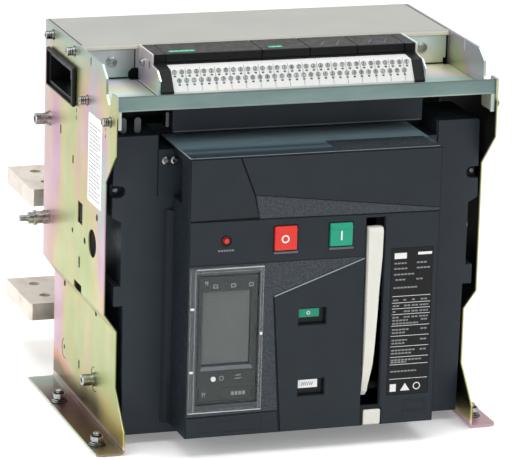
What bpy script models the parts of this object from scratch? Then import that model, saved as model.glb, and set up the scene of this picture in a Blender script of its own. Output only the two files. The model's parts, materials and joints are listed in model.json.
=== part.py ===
"""Three-pole air circuit breaker of the fixed kind, with rear busbar terminals.

All sizes in this file are millimetres and are turned into metres when a mesh is made.
X runs to the right seen from the front, Y runs to the rear and Z runs up.  Y = 0 is the front of
the rear wall of the terminal tray, X = 0 is the middle of the poles and Z = 0 is the underside of
the feet.  The empty "breaker_datum" moves the whole breaker so that the origin lies under the
centre of its box.
"""

import math

import bmesh
import bpy
from mathutils import Vector

MM = 0.001

# Driving dimensions
DATUM_SHIFT_X = 1.5
DATUM_SHIFT_Y = -53.5
FRAME_MIDDLE = -1.5
PLATE_OUTER = 215.5
PLATE_THICKNESS = 2.5
PLATE_INNER = PLATE_OUTER - PLATE_THICKNESS
PLATE_TOP = 419.6
PLATE_BACK = 137.5
JOGGLE_TOP = 147.4
JOGGLE_BOTTOM = 127.6
FOOT_WALL = 201.5
FOOT_WIDTH = 30.0
FOOT_BOLT_X = {-1: -222.0, 1: 213.0}
POLE_PITCH = 120.0
PAD_PITCH = 155.0
PAD_WIDTH = 130.0
BAR_THICKNESS = 20.0
UPPER_BAR_TOP = 212.0
LOWER_BAR_TOP = 76.0
COVER_HALF = 142.0
COVER_FRONT = -174.0
COVER_BOTTOM = 22.0
COVER_TOP = 332.0
COVER_WALL = 3.0
COVER_BACK = -112.9
FLARE = 10.0
BODY_FRONT = -112.6
BODY_TOP = 344.5
BODY_BOTTOM = 10.5
BODY_BACK = -29.0
TRAY_FLOOR = 381.0
SHEET = 2.0
GAP = 0.3
BLOCK_LEFT = -134.0
BLOCK_RIGHT = 141.0
HOUSING_LEFT = -147.6
HOUSING_RIGHT = 152.6
MODULE_COUNT = 5

# Turning axes, given as the place where each one crosses its own piece
TRIP_HINGE = (-140.0, -177.2, 132.0)
LEVER_PIVOT = (70.0, -161.0, 64.0)
MAIN_SHAFT = (0.0, -66.0, 140.0)
CAM_SHAFT = (15.0, -98.0, 118.0)
CONTACT_PIVOT_Y = 7.5
CONTACT_PIVOT_Z = 66.0
CONTACT_OPEN_ANGLE = math.radians(24.0)
SPRING_X = -20.0
SPRING_Y = -98.0
SPRING_LOW = 172.0
SPRING_HIGH = 262.0

# Surface of each material: colour, roughness and metallic value
FINISHES = {
    "yellow_zinc": ((0.72, 0.70, 0.50), 0.32, 0.9),
    "clear_zinc": ((0.55, 0.62, 0.60), 0.35, 0.9),
    "warm_grey_paint": ((0.62, 0.61, 0.57), 0.5, 0.0),
    "charcoal_plastic": ((0.035, 0.042, 0.048), 0.45, 0.0),
    "black_plastic": ((0.012, 0.013, 0.015), 0.4, 0.0),
    "white_plastic": ((0.85, 0.85, 0.83), 0.4, 0.0),
    "ivory_plastic": ((0.80, 0.80, 0.75), 0.35, 0.0),
    "red_plastic": ((0.85, 0.06, 0.03), 0.35, 0.0),
    "green_plastic": ((0.02, 0.45, 0.25), 0.35, 0.0),
    "clear_plastic": ((0.85, 0.88, 0.88), 0.08, 0.0),
    "screen_glass": ((0.10, 0.11, 0.12), 0.1, 0.0),
    "tinned_copper": ((0.72, 0.67, 0.60), 0.4, 0.9),
    "brown_resin": ((0.16, 0.06, 0.035), 0.55, 0.0),
    "plain_steel": ((0.45, 0.46, 0.47), 0.35, 1.0),
    "spring_steel": ((0.22, 0.22, 0.23), 0.35, 1.0),
    "copper": ((0.75, 0.33, 0.18), 0.35, 1.0),
}


# ---------------------------------------------------------------- tools

def clear_scene():
    for item in list(bpy.data.objects):
        bpy.data.objects.remove(item)


def finish_material(name):
    material = bpy.data.materials.get(name)
    if material:
        return material
    colour, roughness, metallic = FINISHES[name]
    material = bpy.data.materials.new(name)
    material.use_nodes = True
    shader = material.node_tree.nodes["Principled BSDF"]
    shader.inputs["Base Color"].default_value = (*colour, 1.0)
    shader.inputs["Roughness"].default_value = roughness
    shader.inputs["Metallic"].default_value = metallic
    material.diffuse_color = (*colour, 1.0)
    return material


def add_block(mesh, x_range, y_range, z_range):
    """Add a closed box given by its lowest and highest value along each axis."""
    corners = [mesh.verts.new((x, y, z)) for x in x_range for y in y_range for z in z_range]
    for face in ((0, 1, 3, 2), (4, 6, 7, 5), (0, 4, 5, 1), (2, 3, 7, 6), (0, 2, 6, 4), (1, 5, 7, 3)):
        mesh.faces.new([corners[index] for index in face])


def place(axis, first, second, along):
    """Point whose two outline coordinates lie across the given axis."""
    if axis == "X":
        return (along, first, second)
    if axis == "Y":
        return (first, along, second)
    return (first, second, along)


def add_prism(mesh, outline, axis, start, end):
    """Add a closed prism: the outline is drawn across the axis, in X, Y, Z order."""
    near = [mesh.verts.new(place(axis, a, b, start)) for a, b in outline]
    far = [mesh.verts.new(place(axis, a, b, end)) for a, b in outline]
    mesh.faces.new(near)
    mesh.faces.new(list(reversed(far)))
    count = len(outline)
    for index in range(count):
        after = (index + 1) % count
        mesh.faces.new((near[index], far[index], far[after], near[after]))


def circle(centre, radius, sides=24):
    """Outline of a round section."""
    return [
        (
            centre[0] + radius * math.cos(math.tau * (step + 0.5) / sides),
            centre[1] + radius * math.sin(math.tau * (step + 0.5) / sides),
        )
        for step in range(sides)
    ]


def slot(centre, width, height, sides=12):
    """Outline of an upright slot with round ends."""
    radius = width / 2.0
    reach = height / 2.0 - radius
    points = []
    for step in range(sides):
        angle = math.tau * (step + 0.5) / sides
        lift = reach if math.sin(angle) > 0.0 else -reach
        points.append((centre[0] + radius * math.cos(angle), centre[1] + lift + radius * math.sin(angle)))
    return points


def rectangle(low_a, high_a, low_b, high_b):
    return [(low_a, low_b), (high_a, low_b), (high_a, high_b), (low_a, high_b)]


def add_turned(mesh, profile, axis, centre, sides=24):
    """Add a closed turned solid: the profile lists (place along the axis, radius)."""
    rings = []
    for along, radius in profile:
        outline = circle(centre, radius, sides)
        rings.append([mesh.verts.new(place(axis, a, b, along)) for a, b in outline])
    mesh.faces.new(rings[0])
    mesh.faces.new(list(reversed(rings[-1])))
    for first, second in zip(rings, rings[1:]):
        for index in range(sides):
            after = (index + 1) % sides
            mesh.faces.new((first[index], second[index], second[after], first[after]))


def rounded_path(points, radius, steps=3):
    """Open path whose inner corners are rounded to the given radius."""
    path = [Vector(points[0])]
    for before, corner, after in zip(points, points[1:], points[2:]):
        corner = Vector(corner)
        inward = (Vector(before) - corner).normalized()
        outward = (Vector(after) - corner).normalized()
        half_angle = math.acos(max(-1.0, min(1.0, inward.dot(outward)))) / 2.0
        reach = radius / math.tan(half_angle)
        centre = corner + (inward + outward).normalized() * (radius / math.sin(half_angle))
        start = corner + inward * reach - centre
        end = corner + outward * reach - centre
        turn = start.angle_signed(end)
        for step in range(steps + 1):
            angle = -turn * step / steps
            rotated = Vector((
                start.x * math.cos(angle) - start.y * math.sin(angle),
                start.x * math.sin(angle) + start.y * math.cos(angle),
            ))
            path.append(centre + rotated)
    path.append(Vector(points[-1]))
    return path


def sheet_outline(path, thickness):
    """Closed outline of a folded sheet that lies to the left of its path."""
    path = [Vector(point) for point in path]
    normals = []
    for first, second in zip(path, path[1:]):
        along = (second - first).normalized()
        normals.append(Vector((-along.y, along.x)))
    other_side = [path[0] + normals[0] * thickness]
    for point, before, after in zip(path[1:-1], normals, normals[1:]):
        mitre = (before + after) / (1.0 + before.dot(after))
        other_side.append(point + mitre * thickness)
    other_side.append(path[-1] + normals[-1] * thickness)
    return [tuple(point) for point in path + list(reversed(other_side))]


def make_object(name, mesh, datum, origin=(0.0, 0.0, 0.0)):
    """Turn a bmesh in millimetres into an object whose origin is at the given point."""
    bmesh.ops.recalc_face_normals(mesh, faces=mesh.faces)
    data = bpy.data.meshes.new(name)
    offset = Vector(origin)
    for vertex in mesh.verts:
        vertex.co = (vertex.co - offset) * MM
    mesh.to_mesh(data)
    mesh.free()
    item = bpy.data.objects.new(name, data)
    bpy.context.collection.objects.link(item)
    item.parent = datum
    item.location = offset * MM
    return item


def make_piece(name, mesh, finish, datum, origin=(0.0, 0.0, 0.0), smooth=False):
    item = make_object(name, mesh, datum, origin)
    item.data.materials.append(finish_material(finish))
    if smooth:
        item.data.shade_smooth()
        item.data.set_sharp_from_angle(angle=math.radians(35.0))
    return item


def round_edges(item, width, segments=2):
    bevel = item.modifiers.new("round_edges", "BEVEL")
    bevel.width = width * MM
    bevel.segments = segments
    bevel.limit_method = "ANGLE"
    bevel.angle_limit = math.radians(40.0)


def combine(item, mesh, operation="DIFFERENCE"):
    """Cut the mesh from the piece, join it on, or keep only what both share."""
    tool = make_object(f"{item.name}_tool_{len(item.modifiers)}", mesh, item.parent)
    tool.hide_render = True
    tool.display_type = "WIRE"
    boolean = item.modifiers.new(operation.lower(), "BOOLEAN")
    boolean.operation = operation
    boolean.solver = "EXACT"
    boolean.object = tool


def block_mesh(*blocks):
    mesh = bmesh.new()
    for x_range, y_range, z_range in blocks:
        add_block(mesh, x_range, y_range, z_range)
    return mesh


def prism_mesh(outlines, axis, start, end):
    mesh = bmesh.new()
    for outline in outlines:
        add_prism(mesh, outline, axis, start, end)
    return mesh


def mirrored(side, low, high):
    """Range along X on the left (-1) or on the right (+1) side, in rising order."""
    return tuple(sorted((side * low, side * high)))


def beside(side, distance):
    """Place along X at a distance from the middle of the steel frame."""
    return FRAME_MIDDLE + side * distance


def frame_range(side, low, high):
    """Range along X between two distances from the middle of the steel frame."""
    return tuple(sorted((beside(side, low), beside(side, high))))


# ---------------------------------------------------------------- sheet metal

SIDE_NAMES = {-1: "left", 1: "right"}

PLATE_OUTLINE = [
    (PLATE_BACK, PLATE_TOP + 2.0),
    (PLATE_BACK, JOGGLE_TOP),
    (137.0, JOGGLE_BOTTOM),
    (137.0, -2.0),
    (-148.0, -2.0),
    (-148.0, 25.0),
    (-111.0, 65.0),
    (-111.0, 294.0),
    (-148.0, 332.0),
    (-148.0, 397.0),
    (-131.0, 397.0),
    (-126.0, 383.0),
    (-118.0, 382.0),
    (-109.0, 391.0),
    (-109.0, 408.0),
    (-88.0, PLATE_TOP + 2.0),
]

GRIP_WINDOW = rectangle(11.0, 108.5, 354.5, 389.5)


def plate_holes():
    """Holes, slots and windows of a side plate, as (Y, Z) outlines."""
    return [
        GRIP_WINDOW,
        circle((-64.5, 215.0), 15.5, 32),
        circle((-34.4, 209.8), 4.0, 12),
        circle((-81.5, 248.3), 4.0, 12),
        circle((15.2, 208.8), 3.0, 10),
        rectangle(-24.3, -5.3, 224.3, 248.3),
        slot((-13.8, 180.3), 6.0, 14.0),
        rectangle(-24.0, 6.0, 144.0, 155.5),
        slot((68.7, 310.3), 5.0, 11.0),
        slot((17.2, 288.8), 5.0, 10.0),
        slot((-49.0, 413.0), 4.5, 11.0),
        slot((6.5, 346.0), 2.5, 5.5, 8),
        slot((6.5, 338.0), 2.5, 5.5, 8),
        slot((-109.8, 353.3), 2.5, 4.5, 8),
        slot((-109.8, 345.8), 2.5, 4.5, 8),
        circle((93.5, 125.0), 4.0, 12),
        circle((-35.0, 127.0), 4.0, 12),
        circle((91.5, 48.3), 11.5, 20),
        circle((-32.0, 50.0), 14.0, 24),
        slot((30.2, 48.3), 5.0, 11.0),
    ]


def side_plate(side, datum):
    """Folded side plate: joggled inward above the foot, with the foot flange turned out."""
    bend = 3.0
    foot_top = PLATE_THICKNESS
    path = rounded_path(
        [
            (FOOT_WALL + FOOT_WIDTH, foot_top),
            (FOOT_WALL, foot_top),
            (FOOT_WALL, JOGGLE_BOTTOM),
            (PLATE_OUTER, JOGGLE_TOP),
            (PLATE_OUTER, PLATE_TOP),
        ],
        bend,
    )
    section = [(beside(side, x), z) for x, z in sheet_outline(path, PLATE_THICKNESS)]
    plate = make_piece(
        f"side_plate_{SIDE_NAMES[side]}",
        prism_mesh([section], "Y", -155.0, 150.0),
        "yellow_zinc",
        datum,
    )
    inner_reach, outer_reach = mirrored(side, 190.0, 240.0)
    combine(plate, prism_mesh([PLATE_OUTLINE], "X", inner_reach, outer_reach), "INTERSECT")
    hole_start, hole_end = mirrored(side, 190.0, 220.0)
    combine(plate, prism_mesh(plate_holes(), "X", hole_start, hole_end))
    foot_holes = [circle((FOOT_BOLT_X[side], y), 4.5, 12) for y in (42.5, -112.7)]
    foot_holes.append(foot_corner(side))
    combine(plate, prism_mesh(foot_holes, "Z", -3.0, 6.0))
    return plate


def foot_corner(side):
    """Waste outside the round front corner of a foot flange."""
    radius = 9.0
    centre_x = FOOT_WALL + FOOT_WIDTH - radius
    centre_y = -148.0 + radius
    arc = [
        (centre_x + radius * math.cos(math.radians(angle)), centre_y + radius * math.sin(math.radians(angle)))
        for angle in (0, -22.5, -45, -67.5, -90)
    ]
    outside_x = FOOT_WALL + FOOT_WIDTH + 4.0
    points = arc + [(centre_x, -152.0), (outside_x, -152.0), (outside_x, centre_y)]
    return [(beside(side, x), y) for x, y in points]


def terminal_tray(datum):
    """One folded sheet: rear wall, floor and front crossbar, between the side plates."""
    reach = PLATE_INNER - GAP
    path = rounded_path([(0.0, 413.5), (0.0, TRAY_FLOOR), (-143.0, TRAY_FLOOR), (-143.0, 396.0)], 1.5)
    tray = make_piece(
        "terminal_tray",
        prism_mesh([sheet_outline(path, SHEET)], "X", beside(-1, reach), beside(1, reach)),
        "clear_zinc",
        datum,
    )
    for side in (-1, 1):
        tab_low, tab_high = TRAY_FLOOR - 21.0, TRAY_FLOOR - 1.0
        front_tab = block_mesh((frame_range(side, 208.5, reach), (-145.0, -143.0), (tab_low, tab_high)))
        combine(tray, front_tab, "UNION")
        side_tab = block_mesh((frame_range(side, 210.7, reach), (-144.0, -112.0), (tab_low, tab_high)))
        combine(tray, side_tab, "UNION")
    reliefs = [circle((x, TRAY_FLOOR + 4.0), 8.0, 8) for x in (HOUSING_LEFT - 6.0, HOUSING_RIGHT + 5.0)]
    combine(tray, prism_mesh(reliefs, "Y", -8.0, 6.0))
    end_reliefs = [(frame_range(side, 207.0, 218.0), (-5.0, 5.0), (370.0, 388.0)) for side in (-1, 1)]
    combine(tray, block_mesh(*end_reliefs))
    return tray


def top_cover_plate(datum):
    """Painted sheet over the arc chutes with a short lip in front and a flange behind."""
    path = rounded_path([(141.5, 396.0), (141.5, PLATE_TOP), (-1.0, PLATE_TOP), (-1.0, 414.0)], 2.5)
    reach = PLATE_INNER - GAP
    return make_piece(
        "top_cover_plate",
        prism_mesh([sheet_outline(path, 1.5)], "X", beside(-1, reach), beside(1, reach)),
        "warm_grey_paint",
        datum,
    )


def block_end_plate(side, datum):
    """Upright zinc plate at one end of the terminal block."""
    outline = [
        (-1.8, TRAY_FLOOR + GAP),
        (-1.8, 418.5),
        (-52.0, 418.5),
        (-52.0, 406.5),
        (-72.0, 405.0),
        (-84.0, 396.0),
        (-80.0, 394.0),
        (-80.0, TRAY_FLOOR + GAP),
    ]
    near = HOUSING_RIGHT + 0.4 if side > 0 else HOUSING_LEFT - 0.4
    start, end = sorted((near, near + 2.0 * side))
    name = f"block_end_plate_{SIDE_NAMES[side]}"
    plate = make_piece(name, prism_mesh([outline], "X", start, end), "clear_zinc", datum)
    hole = prism_mesh([rectangle(-46.0, -41.0, 401.0, 409.0)], "X", start - 3.0, end + 3.0)
    combine(plate, hole)
    return plate


# ---------------------------------------------------------------- auxiliary terminals

def terminal_housing(datum):
    """Black housing behind the terminal block, with a cheek at each end."""
    housing = make_piece(
        "terminal_housing",
        block_mesh(((HOUSING_LEFT, HOUSING_RIGHT), (-50.0, -1.8), (TRAY_FLOOR + GAP, 408.0))),
        "black_plastic",
        datum,
    )
    cheek = [
        (-1.8, TRAY_FLOOR + GAP),
        (-1.8, 417.8),
        (-50.0, 417.8),
        (-50.0, 408.5),
        (-71.0, 404.5),
        (-85.0, 384.5),
        (-85.0, TRAY_FLOOR + GAP),
    ]
    for start, end in ((HOUSING_LEFT, BLOCK_LEFT - GAP), (BLOCK_RIGHT + GAP, HOUSING_RIGHT)):
        combine(housing, prism_mesh([cheek], "X", start, end), "UNION")
    return housing


def secondary_terminal_block(datum):
    """White block of screw terminals with a sloping face."""
    outline = [
        (-50.4, TRAY_FLOOR + GAP),
        (-50.4, 406.0),
        (-70.0, 404.5),
        (-83.0, 383.5),
        (-83.0, TRAY_FLOOR + GAP),
    ]
    return make_piece(
        "secondary_terminal_block",
        prism_mesh([outline], "X", BLOCK_LEFT, BLOCK_RIGHT),
        "white_plastic",
        datum,
    )


def module_covers(datum):
    """Row of equal black covers on top of the terminal housing."""
    width = (BLOCK_RIGHT - BLOCK_LEFT) / MODULE_COUNT
    for index in range(MODULE_COUNT):
        left = BLOCK_LEFT + index * width
        cover = make_piece(
            f"module_cover_{index + 1}",
            block_mesh(((left + GAP, left + width - GAP), (-50.0, -1.8), (408.4, 418.0))),
            "black_plastic",
            datum,
        )
        round_edges(cover, 0.6, 1)


# ---------------------------------------------------------------- mouldings

def side_grip(side, datum):
    """Recessed lifting grip set through the window of a side plate."""
    rim_face = side * 222.5
    rim_back = beside(side, PLATE_OUTER + GAP)
    grip = make_piece(
        f"side_grip_{SIDE_NAMES[side]}",
        block_mesh((sorted((rim_back, rim_face)), (5.5, 115.5), (350.0, 394.0))),
        "black_plastic",
        datum,
    )
    round_edges(grip, 1.5, 1)
    tub = (frame_range(side, 195.0, PLATE_OUTER + 2.0), (11.5, 108.0), (355.0, 389.0))
    combine(grip, block_mesh(tub), "UNION")
    hollow = (sorted((rim_face - side * 3.0, rim_face + side * 3.0)), (9.0, 112.0), (353.0, 391.0))
    combine(grip, block_mesh(hollow))
    pocket = (sorted((side * 196.0, rim_face + side * 3.0)), (14.0, 105.5), (357.5, 386.5))
    combine(grip, block_mesh(pocket))
    return grip


def rear_base_moulding(datum):
    """Insulating base with three pole chambers, open to the front and to the top."""
    base = make_piece(
        "rear_base_moulding",
        block_mesh(((-192.0, 192.0), (-28.5, 140.0), (BODY_BOTTOM, 372.0))),
        "brown_resin",
        datum,
    )
    centres = (-POLE_PITCH, 0.0, POLE_PITCH)
    combine(base, block_mesh(*[((x - 56.0, x + 56.0), (-35.0, 132.0), (17.0, 335.0)) for x in centres]))
    combine(base, block_mesh(*[((x - 55.0, x + 55.0), (-20.0, 131.0), (330.0, 380.0)) for x in centres]))
    passages = []
    for top in (UPPER_BAR_TOP, LOWER_BAR_TOP):
        for x in centres:
            passages.append(((x - 50.4, x + 50.4), (125.0, 145.0), (top - BAR_THICKNESS - 0.4, top + 0.4)))
    combine(base, block_mesh(*passages))
    ribs = []
    for x in (-60.0, 60.0):
        ribs.append(((x - 3.0, x + 3.0), (138.0, 165.0), (20.0, 360.0)))
    combine(base, block_mesh(*ribs), "UNION")
    return base


BODY_SECTION = [
    (194.0, BODY_BOTTOM),
    (195.5, 157.0),
    (206.0, 157.0),
    (206.0, 179.0),
    (198.3, 179.0),
    (198.3, 250.0),
    (209.0, 256.0),
    (208.0, BODY_TOP - 2.0),
    (206.0, BODY_TOP),
]


def front_base_moulding(datum):
    """Black body that carries the mechanism, with a pillar on each side of the front cover."""
    outline = BODY_SECTION + [(-x, z) for x, z in reversed(BODY_SECTION)]
    body = make_piece(
        "front_base_moulding",
        prism_mesh([outline], "Y", BODY_FRONT, BODY_BACK),
        "charcoal_plastic",
        datum,
    )
    combine(body, block_mesh(((-158.5, 158.5), (-120.0, -60.0), (328.4, 350.0))))
    combine(body, block_mesh(((-189.0, 189.0), (-107.0, -20.0), (16.0, 322.0))))
    combine(body, block_mesh(((-189.0, 189.0), (-55.0, -20.0), (320.0, 339.0))))
    combine(body, block_mesh(((-128.0, 128.0), (-120.0, -100.0), (34.0, 318.0))))
    seams = [(mirrored(side, 158.5, 160.0), (-120.0, -110.6), (277.0, 350.0)) for side in (-1, 1)]
    combine(body, block_mesh(*seams))
    recesses = []
    for side in (-1, 1):
        end = [
            (side * (201.2 - 6.7 * math.sin(turn)), 284.2 + 6.7 * math.cos(turn))
            for turn in (math.radians(angle) for angle in (0, 30, 60, 90, 120, 150, 180))
        ]
        recesses.append(end + [(side * 212.0, 277.5), (side * 212.0, 290.9)])
    combine(body, prism_mesh(recesses, "Y", -120.0, -101.0))
    return body


def upper_hood(datum):
    """Hood over the top of the mechanism, between the front cover and the tray."""
    hood = make_piece(
        "upper_hood",
        block_mesh(((-COVER_HALF, COVER_HALF), (-107.0, -62.0), (345.0, 374.0))),
        "charcoal_plastic",
        datum,
    )
    inside = COVER_HALF - COVER_WALL
    combine(hood, block_mesh(((-inside, inside), (-104.0, -50.0), (340.0, 371.5))))
    return hood


TRIP_OPENING = ((-130.0, -62.0), (59.0, 203.0))
LEVER_SLOT = ((57.6, 78.5), (45.0, 257.0))
STOP_OPENING = ((60.9, 81.2), (20.0, 40.3))
OFF_BUTTON = ((-46.5, -22.0), (227.5, 253.5))
ON_BUTTON = ((16.0, 41.0), (228.5, 253.5))
CONTACT_WINDOW = ((-16.6, 14.0), (142.0, 160.0))
SPRING_WINDOW = ((-15.0, 14.5), (62.0, 80.0))
RESET_CENTRE = (-100.4, 240.9)


def grown(region, margin):
    """Rectangle outline of a front-face region, grown all round by the margin."""
    (x_low, x_high), (z_low, z_high) = region
    return rectangle(x_low - margin, x_high + margin, z_low - margin, z_high + margin)


def front_cover(datum):
    """Front cover: a box open to the rear with a flared foot along each side."""
    flare = [
        (
            COVER_HALF + FLARE * (1.0 - math.cos(math.radians(angle))),
            COVER_BACK - FLARE * (1.0 - math.sin(math.radians(angle))),
        )
        for angle in (0, 22.5, 45, 67.5, 90)
    ]
    right_side = [(COVER_HALF, COVER_FRONT)] + flare
    section = right_side + [(-x, y) for x, y in reversed(right_side)]
    cover = make_piece(
        "front_cover",
        prism_mesh([section], "Z", COVER_BOTTOM, COVER_TOP),
        "charcoal_plastic",
        datum,
    )
    round_edges(cover, 1.6, 2)
    inside = COVER_HALF - COVER_WALL
    cavity = (
        (-inside, inside),
        (COVER_FRONT + COVER_WALL, -100.0),
        (COVER_BOTTOM + COVER_WALL, COVER_TOP - COVER_WALL),
    )
    combine(cover, block_mesh(cavity))
    top_plate = ((-COVER_HALF, COVER_HALF), (-116.0, -62.0), (COVER_TOP - COVER_WALL, COVER_TOP))
    combine(cover, block_mesh(top_plate), "UNION")
    flare_ends = [(mirrored(side, COVER_HALF, 170.0), (-130.0, -100.0), (262.0, 340.0)) for side in (-1, 1)]
    combine(cover, block_mesh(*flare_ends))
    pockets = [(mirrored(side, 132.0, 150.0), (-146.0, -100.0), (277.0, 325.0)) for side in (-1, 1)]
    linings = [(mirrored(side, 129.5, 141.0), (-148.5, -113.4), (274.5, 330.0)) for side in (-1, 1)]
    combine(cover, block_mesh(*linings), "UNION")
    combine(cover, block_mesh(*pockets))
    openings = [
        grown(TRIP_OPENING, 0.5),
        grown(LEVER_SLOT, 0.0),
        grown(STOP_OPENING, 0.0),
        grown(OFF_BUTTON, 0.5),
        grown(ON_BUTTON, 0.5),
        grown(CONTACT_WINDOW, 0.0),
        grown(SPRING_WINDOW, 0.0),
        circle(RESET_CENTRE, 4.4, 20),
    ]
    combine(cover, prism_mesh(openings, "Y", -180.0, -168.0))
    return cover


def rating_plate(datum):
    """Thin plate on the right of the front cover."""
    return make_piece(
        "rating_plate",
        block_mesh(((87.5, 135.0), (-175.0, COVER_FRONT - GAP), (55.0, 221.0))),
        "black_plastic",
        datum,
    )


# ---------------------------------------------------------------- trip unit

def trip_unit(datum):
    """Electronic trip unit seen through the opening of the front cover."""
    (x_low, x_high), (z_low, z_high) = TRIP_OPENING
    unit = make_piece(
        "trip_unit",
        block_mesh(((x_low, x_high), (-172.0, -122.0), (z_low, z_high))),
        "charcoal_plastic",
        datum,
    )
    round_edges(unit, 1.0, 1)
    combine(unit, block_mesh(((-124.2, -70.2), (-180.0, -166.0), (102.6, 184.4))))
    combine(unit, block_mesh(((-127.5, -64.5), (-180.0, -168.0), (62.0, 77.0))))
    return unit


def trip_screen(datum):
    return make_piece(
        "trip_screen",
        block_mesh(((-123.8, -70.6), (-169.5, -166.3), (103.0, 184.0))),
        "screen_glass",
        datum,
    )


def rating_plug(datum):
    """Plug-in module along the lower edge of the trip unit."""
    plug = make_piece(
        "rating_plug",
        block_mesh(((-127.2, -64.8), (-172.5, -168.3), (62.3, 76.7))),
        "black_plastic",
        datum,
    )
    round_edges(plug, 0.6, 1)
    return plug


def trip_cover(datum):
    """Clear hinged cover over the trip unit, a shallow tray open to the rear."""
    lid = make_piece(
        "trip_cover",
        block_mesh(((-141.2, -58.0), (-180.0, -174.5), (51.0, 213.0))),
        "clear_plastic",
        datum,
        origin=TRIP_HINGE,
    )
    round_edges(lid, 1.0, 2)
    combine(lid, block_mesh(((-136.0, -61.0), (-178.4, -170.0), (54.0, 210.0))))
    return lid


# ---------------------------------------------------------------- controls

def push_button(name, region, finish, datum):
    """Square push button with a stem towards the mechanism."""
    (x_low, x_high), (z_low, z_high) = region
    middle_x = (x_low + x_high) / 2.0
    middle_z = (z_low + z_high) / 2.0
    button = make_piece(
        name,
        block_mesh(((x_low, x_high), (-179.0, -169.0), (z_low, z_high))),
        finish,
        datum,
        origin=(middle_x, COVER_FRONT, middle_z),
    )
    round_edges(button, 1.0, 2)
    stem = bmesh.new()
    add_turned(stem, [(-171.0, 4.0), (-156.0, 4.0)], "Y", (middle_x, middle_z), 12)
    combine(button, stem, "UNION")
    return button


def reset_button(datum):
    mesh = bmesh.new()
    profile = [
        (-176.5, 3.2),
        (-176.0, 3.9),
        (-170.6, 3.9),
        (-170.6, 6.0),
        (-168.6, 6.0),
        (-168.6, 2.5),
        (-158.0, 2.5),
    ]
    add_turned(mesh, profile, "Y", RESET_CENTRE, 20)
    origin = (RESET_CENTRE[0], COVER_FRONT, RESET_CENTRE[1])
    return make_piece("reset_button", mesh, "red_plastic", datum, origin=origin, smooth=True)


def charging_lever(datum):
    """Ivory pull lever that turns about a pin near the foot of its slot."""
    pivot_y, pivot_z = LEVER_PIVOT[1], LEVER_PIVOT[2]
    grip_front = [(-175.5, 84.0), (-179.0, 108.0), (-181.0, 150.0), (-181.0, 243.0), (-179.0, 247.0)]
    grip_back = [(-170.0, 247.0), (-169.0, 243.0), (-168.0, 120.0), (-158.0, 84.0)]
    hub = [
        (pivot_y + 11.0 * math.cos(math.radians(angle)), pivot_z + 11.0 * math.sin(math.radians(angle)))
        for angle in (50, 15, -20, -55, -90, -125, -160, -195)
    ]
    lever = make_piece(
        "charging_lever",
        prism_mesh([grip_front + grip_back + hub], "X", 59.0, 78.0),
        "ivory_plastic",
        datum,
        origin=LEVER_PIVOT,
    )
    plan = [
        (50.0, 50.0),
        (64.5, 50.0),
        (69.5, 92.0),
        (72.5, 176.0),
        (75.0, 215.0),
        (75.5, 260.0),
        (50.0, 260.0),
    ]
    combine(lever, prism_mesh([plan], "Y", -190.0, -135.0), "INTERSECT")
    pin_hole = bmesh.new()
    add_turned(pin_hole, [(50.0, 5.0), (90.0, 5.0)], "X", (pivot_y, pivot_z), 12)
    combine(lever, pin_hole)
    return lever


def lever_pin(datum):
    mesh = bmesh.new()
    profile = [(42.0, 7.0), (47.0, 7.0), (47.0, 4.6), (80.0, 4.6)]
    add_turned(mesh, profile, "X", (LEVER_PIVOT[1], LEVER_PIVOT[2]), 16)
    return make_piece("lever_pin", mesh, "plain_steel", datum, smooth=True)


def lever_stop_block(datum):
    """Ivory block that closes the foot of the lever slot."""
    (x_low, x_high), (z_low, z_high) = STOP_OPENING
    stop = make_piece(
        "lever_stop_block",
        block_mesh(((x_low + 0.4, x_high - 0.4), (-176.0, -168.0), (z_low + 3.0 + GAP, z_high - 0.4))),
        "ivory_plastic",
        datum,
    )
    round_edges(stop, 1.0, 1)
    return stop


def flag_plate(name, region, drop, finish, datum):
    """Indicator flag that slides up and down behind its window."""
    (x_low, x_high), (z_low, z_high) = region
    return make_piece(
        name,
        block_mesh(((x_low - 3.0, x_high + 3.0), (-170.5, -168.5), (z_low - 1.5 - drop, z_high + 1.5))),
        finish,
        datum,
        origin=((x_low + x_high) / 2.0, -170.5, (z_low + z_high) / 2.0),
    )


# ---------------------------------------------------------------- mechanism

def mechanism_sides(datum):
    """Two steel side frames that carry the shafts of the mechanism."""
    outline = [
        (-168.0, 52.0),
        (-168.0, 76.0),
        (-140.0, 104.0),
        (-140.0, 268.0),
        (-36.0, 268.0),
        (-36.0, 36.0),
        (-140.0, 36.0),
    ]
    holes = [
        circle((LEVER_PIVOT[1], LEVER_PIVOT[2]), 5.0, 16),
        circle((MAIN_SHAFT[1], MAIN_SHAFT[2]), 11.4, 24),
        circle((CAM_SHAFT[1], CAM_SHAFT[2]), 8.4, 20),
        circle((-62.0, 220.0), 14.0, 20),
    ]
    for name, start in (("mechanism_side_left", -57.0), ("mechanism_side_right", 50.0)):
        side = make_piece(name, prism_mesh([outline], "X", start, start + 3.0), "plain_steel", datum)
        combine(side, prism_mesh(holes, "X", start - 3.0, start + 6.0))


def crank_outline(centre, hub_radius, tip_radius, reach, angle_degrees, axis_points=7):
    """Outline of a crank arm: a round hub, a round tip and straight sides."""
    heading = math.radians(angle_degrees)
    tip = (centre[0] + reach * math.cos(heading), centre[1] + reach * math.sin(heading))
    spread = math.pi / (axis_points - 1)
    outline = []
    for step in range(axis_points):
        angle = heading - math.pi / 2.0 + spread * step
        outline.append((tip[0] + tip_radius * math.cos(angle), tip[1] + tip_radius * math.sin(angle)))
    for step in range(axis_points):
        angle = heading + math.pi / 2.0 + spread * step
        outline.append((centre[0] + hub_radius * math.cos(angle), centre[1] + hub_radius * math.sin(angle)))
    return outline


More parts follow.
